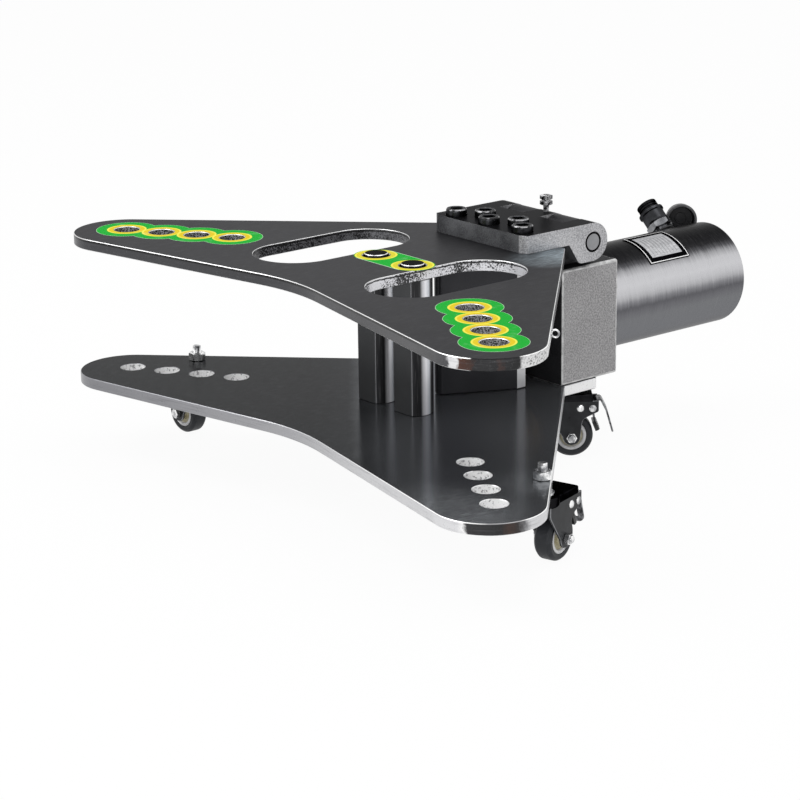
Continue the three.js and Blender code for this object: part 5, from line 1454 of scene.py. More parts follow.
    def build_eye(self) -> None:
        """The ring on its stud in the upper plate's right rear edge."""
        base = self.eye_wire - 1.0
        stud = lathe([(0, -2, 0), (2, -2, 0), (2, base, 0.3), (0, base, 0)], 24)
        collar = lathe([(0, 0.3, 0), (3, 0.3, 0.2), (3, 0.9, 0.2), (0, 0.9, 0)], 24)
        ring_points = circle(self.eye_radius, 0, self.eye_wire, 14)
        ring = turned(ring_points + [ring_points[0]], 40)
        ring = ring.moved(shift(0, 0, self.eye_radius + base) @ spin(RIGHT_ANGLE, "X"))
        cos, sin = math.cos(self.rear_angle), math.sin(self.rear_angle)
        x = self.tip_x + self.tip_radius * cos - self.eye_along * sin
        y = self.tip_y + self.tip_radius * sin + self.eye_along * cos
        turn = spin(self.rear_angle, "Z") @ spin(RIGHT_ANGLE, "Y")
        place = shift(x, y, self.upper_z + self.thickness / 2) @ turn
        form = stud.joined(collar, ring).moved(place)
        self.bench.piece("plate_ring", form, [Look.ZINC], "top", "zinc", ["plate_eye"])

    def build(self) -> None:
        """Both plates with their labels and the eye."""
        self.build_bed()
        self.build_upper()
        self.build_labels()
        self.build_eye()


@dataclass
class Hinge(Assembly):
    """The leaf on the upper plate, its screws, the fixed knuckles, the pin and its lock screw."""

    pin_y: float = 358.0
    pin_z: float = 255.3
    pin_radius: float = 11.5
    leaf_width: float = 156.0
    leaf_front: float = 256.0
    leaf_base: float = 257.1
    leaf_top: float = 277.1
    ear_front: float = 322.0
    ear_toe: float = 337.0
    toe_radius: float = 8.0
    corner_x: float = 10.0
    corner_y: float = 5.0
    knuckle_x: float = 34.0
    knuckle_width: float = 38.0
    knuckle_radius: float = 21.3
    knuckle_foot: float = 42.0
    knuckle_base: float = 227.1
    screw_x: float = 56.0
    screw_y: float = 272.0
    row_spacing: float = 19.0
    screw_radius: float = 12.0
    screw_height: float = 14.4
    screw_shank: float = 7.9
    screw_sides: int = 72
    knurl_depth: float = 0.28
    screw_sunk: float = 7.0
    socket_flats: float = 14.0
    socket_depth: float = 8.0
    lock_neck: float = 3.3
    lock_neck_length: float = 8.0
    lock_radius: float = 7.3
    lock_height: float = 11.0

    def screw_places(self) -> list[Point]:
        """Middles of the five leaf screws."""
        wide, front, rear = self.screw_x, self.screw_y, self.screw_y + self.row_spacing
        return [(-wide, front), (0, front), (wide, front), (-wide / 2, rear), (wide / 2, rear)]

    def build_leaf(self) -> None:
        """The leaf, cut from a profile that runs across the machine."""
        radius = self.leaf_top - self.pin_z
        low = self.pin_z - radius
        profile = rounded([(self.leaf_front, self.leaf_top, 0), (self.leaf_front, self.leaf_base, 0),
                (self.ear_front, self.leaf_base, 1.5), (self.ear_toe, low, self.toe_radius),
                (self.pin_y, low, 0)])[:-1]
        profile += arc(self.pin_y, self.pin_z, radius, -RIGHT_ANGLE, RIGHT_ANGLE, math.radians(6))
        half = self.leaf_width / 2
        blank = slab(without_repeats(profile), -half, half).moved(ALONG_X)
        made = self.bench.solid("leaf", blank)
        slot_front = self.pin_y - radius - 1.5
        cutters = []
        for side in (1, -1):
            middle = side * self.knuckle_x
            wide = self.knuckle_width / 2 + 0.5
            box = [(middle - wide, slot_front), (middle + wide, slot_front), (middle + wide, 390),
                (middle - wide, 390)]
            cutters.append(slab(box, low - 10, self.leaf_top + 10))
            corner = [(side * (half - self.corner_x), self.leaf_front),
                (side * (half - self.corner_x), self.leaf_front - 3), (side * (half + 3), self.leaf_front - 3),
                (side * (half + 3), self.leaf_front + self.corner_y),
                (side * half, self.leaf_front + self.corner_y)]
            cutters.append(slab(corner if side > 0 else corner[::-1], self.leaf_base - 3, self.leaf_top + 3))
        for x, y in self.screw_places():
            cutters.append(slab(circle(x, y, self.screw_radius + 0.6, 48), self.leaf_top - self.screw_sunk,
                    self.leaf_top + 3))
        bore = circle(self.pin_y, self.pin_z, self.pin_radius + GAP, 48)
        cutters.append(slab(bore, -half - 5, half + 5).moved(ALONG_X))
        self.bench.carve(made, cutters)
        self._tag_faces(made)
        self.bench.ease(made, 0.7, 1, 3)
        looks = [Look.LEAF_TOP, Look.LEAF_FACE, Look.LEAF_SIDE, Look.BEVEL]
        self.bench.settle(made, looks, "top", "cast_steel", ["hinge_leaf"])

    def _tag_faces(self, made: bpy.types.Object) -> None:
        """Picks a finish for each face of the leaf by the way that it looks.

        Args:
            made: The leaf.
        """
        for face in made.data.polygons:
            way = face.normal
            if way.z > 0.5:
                face.material_index = 0
            elif abs(way.x) > 0.35:
                face.material_index = 1 if way.x < 0 and way.y < -0.3 else 2
            else:
                face.material_index = 1

    def build_screws(self) -> None:
        """The five socket head screws, grown from one."""
        base = self.leaf_top - self.screw_sunk + GAP
        places = [(x, y, base) for x, y in self.screw_places()]
        where = ("top", "black_steel")
        names = [f"cap_screw_{i}" for i in range(1, 6)]
        self.bench.grow("leaf_screws", Pattern.POINTS, self._screw(), Look.SCREW_BLACK, *where, names,
            points=places)
        # Rings that carry a painted highlight on the screw heads.
        self.bench.grow("screw_rims", Pattern.POINTS, self._screw_rim(), Look.SCREW_RIM, *where, points=places)

    def _screw(self) -> Form:
        """One screw head with a knurled side and a hexagon socket, and its shank."""
        sides = self.screw_sides
        top, radius = self.screw_height, self.screw_radius
        shank, neck = self.screw_shank, radius - 0.35
        knurl = [radius - (self.knurl_depth if i % 2 else 0) for i in range(sides)]
        socket = [hex_radius(self.socket_flats, TURN * i / sides) for i in range(sides)]
        form = Form()
        levels = [(shank, -20), (shank, 0), (radius - 0.6, 0), (neck, 0.8), (knurl, 1.3), (knurl, top - 3.2),
            (neck, top - 2.4), (neck, top - 1.2), (radius - 1.3, top), ([r + 0.5 for r in socket], top),
            (socket, top - 0.5), (socket, top - self.socket_depth)]
        form.skin([form.ring(around(sides, radii, level)) for radii, level in levels])
        return form

    def _screw_rim(self) -> Form:
        """A thin polished ring on the chamfer of a screw head."""
        top = self.screw_height
        outer = self.screw_radius - 0.2
        foot = (outer - 0.3, top - 1.45)
        return turned([foot, (outer, top - 1.3), (outer - 1.1, top + 0.06), (outer - 1.35, top - 0.1), foot],
            self.screw_sides)

    def build_knuckles(self) -> None:
        """The two fixed knuckles on the head block."""
        half = self.knuckle_foot / 2
        outline = [(self.pin_y - half, self.knuckle_base), (self.pin_y + half, self.knuckle_base)]
        outline += arc(self.pin_y, self.pin_z, self.knuckle_radius, 0, math.pi, math.radians(5))
        bore = circle(self.pin_y, self.pin_z, self.pin_radius + GAP, 48)
        for side, word in SIDES:
            middle = side * self.knuckle_x
            low, high = middle - self.knuckle_width / 2, middle + self.knuckle_width / 2
            form = slab(outline, low, high, 0.9, [bore], 2).moved(ALONG_X)
            self.bench.piece(f"knuckle_{word}", form, [Look.KNUCKLE], "frame", "cast_steel",
                [f"hinge_knuckle_{word}"])

    def build_pin(self) -> None:
        """The cross pin with a turned groove in each end."""
        end = self.leaf_width / 2
        radius = self.pin_radius
        near = [(0, -end, 0), (radius * 0.8, -end, 0.2), (radius * 0.84, -end + 1.6, 0),
            (radius, -end + 1.6, 0)]
        form = lathe(mirrored(near), 56).moved(shift(0, self.pin_y, self.pin_z) @ ALONG_X)

        def tag(corners: Sequence[Vector]) -> int:
            """One outside the groove, zero on the end's face."""
            middle = middle_of(corners)
            return int(math.hypot(middle.y - self.pin_y, middle.z - self.pin_z) > radius * 0.81)

        form.retag(tag)
        self.bench.piece("cross_pin", form, [Look.PIN_END, Look.BLACK_STEEL], "top", "zinc", ["hinge_pin"])

    def build_lock(self) -> None:
        """The lock screw: a knurled head in two steps, slotted, on a thin neck."""
        neck = self.leaf_top + self.lock_neck_length
        top = neck + self.lock_height
        radius = self.lock_radius
        side = [(0, self.pin_z + self.pin_radius + GAP, 0), (3.0, self.pin_z + self.pin_radius + GAP, 0.3),
            (3.0, self.leaf_top + GAP, 0), (self.lock_neck, self.leaf_top + GAP, 0.2),
            (self.lock_neck, neck, 0.4), (radius - 0.7, neck, 0.6), (radius - 0.7, neck + 4.6, 0.2),
            (radius - 2.4, neck + 5.0, 0.2), (radius - 2.4, neck + 6.2, 0.2), (radius - 0.7, neck + 6.6, 0.2),
            (radius - 0.7, top, 1.0), (0, top, 0)]
        made = self.bench.solid("lock_screw_body", lathe(side, 56).moved(shift(0, self.pin_y, 0)))
        groove = [(-9, -1.2), (9, -1.2), (9, 1.2), (-9, 1.2)]
        cutter = slab(groove, top - 3, top + 3).moved(shift(0, self.pin_y, 0))
        self.bench.carve(made, [cutter])
        self.bench.settle(made, [Look.KNURLED], "lock_screw", "zinc", ["hinge_lock_screw"])
        rib = slab([(-0.9, -0.26), (0.1, -0.1), (0.1, 0.1), (-0.9, 0.26)], 0, 3.6)
        for level, word in ((neck + 0.6, "lower"), (neck + 6.9, "upper")):
            self.bench.grow(f"lock_knurl_{word}", Pattern.RING, rib, Look.KNURLED, "lock_screw", "zinc",
                count=36, radius=radius - 0.1, place=shift(0, self.pin_y, level))

    def build(self) -> None:
        """The whole hinge."""
        self.build_leaf()
        self.build_screws()
        self.build_knuckles()
        self.build_pin()
        self.build_lock()


@dataclass
class Head(Assembly):
    """The cast head block with the rod's bush."""

    half_width: float = 70.0
    front: float = 318.5
    rear: float = 405.0
    base: float = 92.8
    top: float = 226.8
    edge: float = 3.0
    axis_z: float = 162.5
    bush_radius: float = 32.0
    flange_radius: float = 38.0
    flange_front: float = 314.2
    seat_radius: float = 54.3
    seat_front: float = 380.5
    rod_radius: float = 25.3

    def build(self) -> None:
        """Block and bush."""
        half = self.half_width
        outline = [(-half, self.front), (half, self.front), (half, self.rear), (-half, self.rear)]
        made = self.bench.solid("head_casting", slab(outline, self.base, self.top))
        self.bench.ease(made, self.edge, 4, 1)
        axis = shift(0, 0, self.axis_z) @ ALONG_Y
        bore = slab(circle(0, 0, self.bush_radius + GAP, 72), self.front - 4, self.rear + 4).moved(axis)
        seat = slab(circle(0, 0, self.seat_radius, 72), self.seat_front, self.rear + 4).moved(axis)
        self.bench.carve(made, [bore, seat])
        # Painted shade on the front and top faces.
        for face in made.data.polygons:
            if face.normal.y < -0.7 or face.normal.z > 0.99:
                face.material_index = 2
        self.bench.settle(made, [Look.CAST, Look.CAST_EDGE, Look.CAST_SHADE], "frame", "cast_steel",
            ["head_block"])
        face = self.front - GAP
        bush = lathe([(self.rod_radius, self.flange_front, 0.8), (self.flange_radius, self.flange_front, 1.0),
                (self.flange_radius, face, 0.2), (self.bush_radius, face, 0),
                (self.bush_radius, self.seat_front - 6, 0.5), (self.rod_radius, self.seat_front - 6, 0.5)], 72,
            closed=True)
        self.bench.piece("guide_bush", bush.moved(axis), [Look.BRONZE], "frame", "bronze", ["rod_bush"])


@dataclass
class Cylinder(Assembly):
    """The turned barrel with its plug and name plate."""

    axis_z: float = 162.5
    radius: float = 60.5
    bore: float = 47.5
    front: float = 405.3
    rear: float = 624.0
    spigot: float = 54.0
    spigot_front: float = 380.8
    plug_rear: float = 621.0
    plug_thickness: float = 17.0
    plug_hole_x: float = 30.0
    plug_hole_radius: float = 4.0
    sheet_from: float = math.radians(-2)
    sheet_to: float = math.radians(48.5)
    sheet_front: float = 481.0
    sheet_length: float = 63.0
    sheet_inner: float = 60.8
    sheet_thickness: float = 0.8
    sheet_steps: int = 36

    def build_barrel(self) -> None:
        """The tube, its rear edge rounded and a fine groove turned behind the head."""
        profile = [(self.bore, self.spigot_front, 0), (self.spigot, self.spigot_front, 0.5),
            (self.spigot, self.front, 0), (self.radius, self.front, 0.6), (self.radius, self.rear, 3.2),
            (self.bore, self.rear, 0.8)]
        form = lathe(profile, 144, closed=True).moved(shift(0, 0, self.axis_z) @ ALONG_Y)
        # Painted reflections by angle from the top: a dark top, a bright band on the upper right side, mid
        # greys below.
        bands = ((-180, 0x5C5C60), (-120, 0x6E6E72), (-60, 0x3A3A3D), (-20, 0x0E0E10), (5, 0x0E0E10),
            (24, 0x161618), (32, 0x1C1C1E), (38, 0x28282A), (44, 0x545457), (50, 0xA0A0A3), (57, 0xC4C4C7),
            (67, 0xCCCCCF), (75, 0xC2C2C5), (80, 0xB0B0B3), (85, 0x848488), (91, 0x5E5E62), (97, 0x6C6C70),
            (105, 0x77787B), (130, 0x7A7B7F), (150, 0x6A6A6E), (180, 0x5C5C60))
        finish = ReflectionPaintedTube("barrel_brushed", self.axis_z, bands)
        self.bench.piece("barrel", form, [finish], "frame", "bright_steel", ["cylinder_barrel"])

    def build_plug(self) -> None:
        """The end plug with its two spanner holes."""
        outer = circle(0, 0, self.bore - GAP, 96)
        holes = [circle(side * self.plug_hole_x, 0, self.plug_hole_radius, 32) for side in (1, -1)]
        split = self.plug_rear - 8
        face = slab(outer, split, self.plug_rear, 0.6, holes, 2)
        body = slab(outer, self.plug_rear - self.plug_thickness, split)
        form = face.joined(body).moved(shift(0, 0, self.axis_z) @ ALONG_Y)
        self.bench.piece("end_plug", form, [Look.GREY_STEEL], "frame", "black_steel", ["cylinder_end_plug"])

    def build_name_plate(self) -> None:
        """The curved plate, left without words."""
        form = Form()
        span = self.sheet_to - self.sheet_from
        outer, inner = self.sheet_inner + self.sheet_thickness, self.sheet_inner
        front, rear = self.sheet_front, self.sheet_front + self.sheet_length
        rows = []
        for i in range(self.sheet_steps + 1):
            angle = self.sheet_from + span * i / self.sheet_steps
            sin, cos = math.sin(angle), math.cos(angle)
            corners = ((outer, front), (outer, rear), (inner, rear), (inner, front))
            section = [Vector((radius * sin, y, self.axis_z + radius * cos)) for radius, y in corners]
            rows.append(form.ring(section))
        form.skin(rows[::-1])
        made = self.bench.solid("rating_sheet", form)
        layer = made.data.uv_layers.new(name="sheet")
        for loop in made.data.loops:
            point = made.data.vertices[loop.vertex_index].co
            angle = math.atan2(point.x, point.z - self.axis_z)
            layer.data[loop.index].uv = (angle - self.sheet_from) / span, (point.y - front) / self.sheet_length
        finish = BareNamePlate("etched_sheet", span * outer, self.sheet_length)
        self.bench.settle(made, [finish], "frame", "foil", ["name_plate"])

    def build(self) -> None:
        """Barrel, plug and name plate."""
        self.build_barrel()
        self.build_plug()
        self.build_name_plate()


@dataclass
class ReturnSpring(Assembly):
    """The round wire spring between head and piston, which shortens as the ram moves out."""

    axis_z: float = 162.5
    radius: float = 38.0
    wire: float = 4.0
    turns: int = 9
    stroke: float = 60.0
    steps: int = 28
    sides: int = 12

    def winding(self, length: float) -> Form:
        """The wire, its first and last turn laid flat.

        Args:
            length: Length of the spring over its wire's middle.

        Returns:
            The closed form, along Z.
        """
        count = self.turns * self.steps
        flat = 2.1 * self.wire
        inner = (length - 2 * flat) / (self.turns - 2)
        height = 0.0
        path = []
        for i in range(count + 1):
            angle = TURN * i / self.steps
            path.append(Vector((self.radius * math.cos(angle), self.radius * math.sin(angle), height)))
            at_end = i < self.steps or i >= count - self.steps
            height += (flat if at_end else inner) / self.steps

        def sides(point: Vector, run: Vector) -> tuple[Vector, Vector]:
            """Away from the spring's axis, and across the wire."""
            out = Vector((point.x, point.y, 0)).normalized()
            return out, run.cross(out).normalized()

        return swept(path, circle(0, 0, self.wire, self.sides), sides)

    def build(self) -> None:
        """Winds the spring between the ends of its CAD solid."""
        low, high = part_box("return_spring")
        front = low[1] / MM - self.bench.shift_y
        length = (high[1] - low[1]) / MM
        form = self.winding(length - 2 * self.wire)
        form = form.moved(shift(0, front + self.wire, self.axis_z) @ ALONG_Y)
        made = self.bench.piece("wound_spring", form, [Look.SPRING], "frame", "spring_steel", ["return_spring"])
        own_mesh(made)


@dataclass
class OilPort(Assembly):
    """The adapter in the oil port, the coupler half and its dust cap on a strap."""

    port_y: float = 594.0
    axis_z: float = 162.5
    angle: float = math.radians(47)
    neck_radius: float = 9.0
    hex_flats: float = 29.0
    hex_base: float = 69.6
    hex_height: float = 9.0
    sleeve_radius: float = 14.2
    sleeve_length: float = 18.0
    flange_radius: float = 16.0
    flange_length: float = 3.5
    nose_radius: float = 12.8
    nose_length: float = 10.5
    nose_bore: float = 6.0
    cap_radius: float = 19.0
    cap_wall: float = 3.0
    cap_depth: float = 18.0
    cap_rim: float = -3.5
    cap_place: tuple[float, float, float] = (5.6, 33.0, 74.0)
    cap_turn: float = math.radians(-47)
    cap_lean: float = math.radians(121)
    strap_ring: float = 13.5
    strap_height: float = 65.5
    strap_width: float = 9.0
    strap_thickness: float = 2.5
    strap_steps: int = 14

    def place(self) -> Matrix:
        """From the port's own axis to the machine."""
        return shift(0, self.port_y, self.axis_z) @ spin(-self.angle, "Y")

    def build_adapter(self) -> None:
        """Neck and hexagon."""
        neck = lathe([(0, 54, 0), (self.neck_radius - 1, 54, 0), (self.neck_radius, 61.2, 0),
                (self.neck_radius, 70.6, 0), (0, 70.6, 0)], 40)
        hexagon = nut(self.hex_flats, self.hex_height, 0, self.hex_base)
        form = neck.joined(hexagon).moved(self.place())
        self.bench.piece("port_fitting", form, [Look.ADAPTER], "frame", "bright_steel", ["port_adapter"])

    def build_coupler(self) -> None:
        """Sleeve and nose, the nose ribbed."""
        base = self.hex_base + self.hex_height + GAP
        top = base + self.sleeve_length
        sleeve = lathe([(7.3, base, 0), (self.sleeve_radius - 1.2, base, 0.5),
                (self.sleeve_radius, base + 2, 0.8), (self.sleeve_radius, top - self.flange_length - 1, 0.4),
                (self.flange_radius, top - self.flange_length, 0.5), (self.flange_radius, top, 0.9),
                (7.3, top, 0)], 64, closed=True)
        self.bench.piece("coupling_sleeve", sleeve.moved(self.place()), [Look.SCREW_BLACK], "frame",
            "black_steel", ["coupler_sleeve"])
        shoulder = top + GAP
        end = shoulder + self.nose_length
        valley = self.nose_radius - 1.4
        nose = lathe([(0, shoulder - 9, 0), (7.0, shoulder - 9, 0), (7.0, shoulder, 0), (valley, shoulder, 0.2),
                (valley, end - 2.6, 0.2), (self.nose_radius, end - 2.2, 0.4), (self.nose_radius, end, 0.9),
                (self.nose_bore, end, 0.6), (self.nose_bore, end - 11, 0), (0, end - 11, 0)], 64)
        self.bench.piece("coupling_nose", nose.moved(self.place()), [Look.BLACK_STEEL], "frame", "black_steel",
            ["coupler_nose"])
        rib = lathe([(valley - 0.5, 0, 0), (self.nose_radius, 0, 0.5), (self.nose_radius, 1.9, 0.5),
                (valley - 0.5, 1.9, 0)], 64, closed=True)
        foot = self.place() @ shift(0, 0, shoulder + 0.2)
        self.bench.grow("nose_ribs", Pattern.ROW, rib, Look.BLACK_STEEL, "frame", "black_steel", count=3,
            step=(0.0, 0.0, 3.2), place=foot)

    def build_cap(self) -> None:
        """The rubber cap, open towards its mouth, with its strap and ring."""
        inner = self.cap_radius - self.cap_wall
        cup = lathe([(0, -self.cap_depth, 0), (self.cap_radius - 1.2, -self.cap_depth, 1.6),
                (self.cap_radius - 0.4, -4, 0), (self.cap_radius, -3.4, 0.4), (self.cap_radius, 0, 1.0),
                (inner, 0, 0.8), (inner - 0.6, 4 - self.cap_depth, 2.0), (0, 4 - self.cap_depth, 0)], 72)
        button = lathe([(0, 3.9 - self.cap_depth, 0), (7, 3.9 - self.cap_depth, 0),
                (7, 5.4 - self.cap_depth, 1.0), (0, 5.4 - self.cap_depth, 0)], 48)
        cup.retag(lambda corners: int(min(corner.z for corner in corners) > self.cap_rim))
        seat = shift(*self.cap_place) @ spin(self.cap_turn, "Z") @ spin(self.cap_lean, "Y")
        cup = cup.joined(button).moved(seat)
        low = self.strap_height - self.strap_thickness / 2
        high = self.strap_height + self.strap_thickness / 2
        loop = lathe([(9.3, low, 0.5), (self.strap_ring, low, 0.7), (self.strap_ring, high, 0.7),
                (9.3, high, 0.5)], 56, closed=True)
        rim = seat @ Vector((0, self.cap_wall / 2 - self.cap_radius, -self.cap_wall))
        start = Vector((0, self.strap_ring - self.strap_thickness, self.strap_height))
        bend = Vector((0, self.strap_ring + self.strap_thickness, self.strap_height))
        spots = [i / self.strap_steps for i in range(self.strap_steps + 1)]
        path = [start * (1 - t) ** 2 + bend * (2 * t * (1 - t)) + rim * t**2 for t in spots]
        half, thick, ease = self.strap_width / 2, self.strap_thickness / 2, 0.8
        corners = [(-half, -thick, ease), (half, -thick, ease), (half, thick, ease), (-half, thick, ease)]

        def sides(_: Vector, run: Vector) -> tuple[Vector, Vector]:
            """Across the strap, which stays level along X, and out of it."""
            level = Vector((1, 0, 0))
            across = (level - run * level.dot(run)).normalized()
            return across, run.cross(across)

        strap = swept(path, rounded(corners, step=math.radians(45)), sides)
        form = loop.joined(cup, strap).moved(self.place())
        self.bench.piece("rubber_cap", form, [Look.BLACK_RUBBER, Look.RUBBER_RIM], "dust_cap", "rubber",
            ["dust_cap"])

    def build(self) -> None:
        """Adapter, coupler and cap."""
        self.build_adapter()
        self.build_coupler()
        self.build_cap()


@dataclass
class Tooling(Assembly):
    """The bending posts, the punch and the rod that drives it."""

    bed_z: float = 92.5
    roof_z: float = 244.3
    plate_top: float = 256.8
    post_x: float = 31.5
    post_y: float = 135.6
    post_radius: float = 21.5
    flat_distance: float = 16.0
    pin_radius: float = 14.3
    low_pin_radius: float = 14.7
    pin_proud: float = 3.0
    punch_half: float = 45.0
    punch_flank: float = math.radians(26.5)
    punch_nose: float = 8.0
    punch_shoulder: float = 274.5
    punch_rear: float = 287.0
    rod_radius: float = 25.0
    rod_end: float = 551.7
    axis_z: float = 162.5

    def build_posts(self) -> None:
        """Both D-section posts with domed pins."""
        base, top = self.bed_z + GAP, self.roof_z - GAP
        cut = math.asin(self.flat_distance / self.post_radius)
        outline = arc(0, 0, self.post_radius, -cut, math.pi + cut, math.radians(3))
        end = self.plate_top + self.pin_proud
        for side, word in SIDES:
            bar = slab(outline, base, top, 0.7, steps=2)
            bar.retag(lambda corners: int(middle_of(corners).y < 0.5 - self.flat_distance))
            low_pin = lathe([(0, 80.3, 0), (self.low_pin_radius, 80.3, 0.5),
                    (self.low_pin_radius, base + GAP, 0), (0, base + GAP, 0)], 56, tag=2)
            pin = lathe([(0, top - 0.3, 0), (self.pin_radius, top - 0.3, 0), (self.pin_radius, end - 2.4, 0.8),
                    (self.pin_radius - 1.3, end - 1.0, 0), (self.pin_radius - 2.0, end - 0.3, 0.2),
                    (self.pin_radius - 2.6, end, 0.3), (0, end, 0)], 56, tag=2)
            # The pins' top chamfer ring takes the polished bevel, partly a painted highlight.
            pin.retag(lambda corners: 3 if end - 1.1 < middle_of(corners).z < end - 0.2 else 2)
            form = bar.joined(low_pin, pin).moved(shift(side * self.post_x, self.post_y))
            # Painted light round the post: a thin highlight at the flat's corner, a dark band, a bright
            # highlight near 90 degrees and a dark rim past it.
            bands = ((-180, 0x6A6A6E), (-90, 0x505054), (-43, 0x505054), (-41, 0x2C2C2F), (30, 0x2C2C2F),
                (41, 0xC8C8CC), (44.6, 0xC8C8CC), (46.5, 0x19191B), (72, 0x232325), (79, 0xC0C0C3),
                (90, 0xF0F0F4), (103, 0xC8CCD2), (110, 0x343437), (135, 0x2A2A2D), (150, 0x6A6A6E),
                (180, 0x6A6A6E))
            round_painted_light = DrawnBar(f"post_round_{word}", side * self.post_x, self.post_y + self.bench.shift_y,
                bands)
            self.bench.piece(f"bend_post_{word}", form,
                [round_painted_light, Look.POST_FLAT, Look.BLACK_STEEL, Look.BEVEL], f"post_{word}", "bright_steel",
                [f"post_{word}"])

    def build_punch(self) -> None:
        """The wedge punch."""
        apex = self.punch_shoulder - self.punch_half / math.tan(self.punch_flank)
        half = self.punch_half
        outline = rounded([(0, apex, self.punch_nose), (half, self.punch_shoulder, 0.6),
                (half, self.punch_rear, 0.6), (-half, self.punch_rear, 0.6), (-half, self.punch_shoulder, 0.6)],
            step=math.radians(6))
        form = slab(outline, self.bed_z + 1, self.roof_z - 1, 0.8, steps=2)

        def tag(corners: Sequence[Vector]) -> int:
            """One on the short sides by the rear corners."""
            middle = middle_of(corners)
            return int(middle.y > self.punch_shoulder - 0.5 and abs(middle.x) > half - 1.5)

        form.retag(tag)
        self.bench.piece("wedge_punch", form, [Look.PUNCH_FACE, Look.PUNCH_SIDE], "ram", "black_steel",
            ["punch"])

    def build_rod(self) -> None:
        """The piston rod, from the punch into the cylinder."""
        front = self.punch_rear + GAP
        form = lathe([(0, front - 24, 0), (15, front - 24, 0.5), (15, front, 0), (self.rod_radius, front, 0.8),
                (self.rod_radius, self.rod_end, 0.8), (12, self.rod_end, 0), (12, 582, 0.5), (0, 582, 0)],
            72).moved(shift(0, 0, self.axis_z) @ ALONG_Y)
        self.bench.piece("ram_rod", form, [Look.BRIGHT_STEEL], "ram", "bright_steel", ["piston_rod"])

    def build(self) -> None:
        """Posts, punch and rod."""
        self.build_posts()
        self.build_punch()
        self.build_rod()


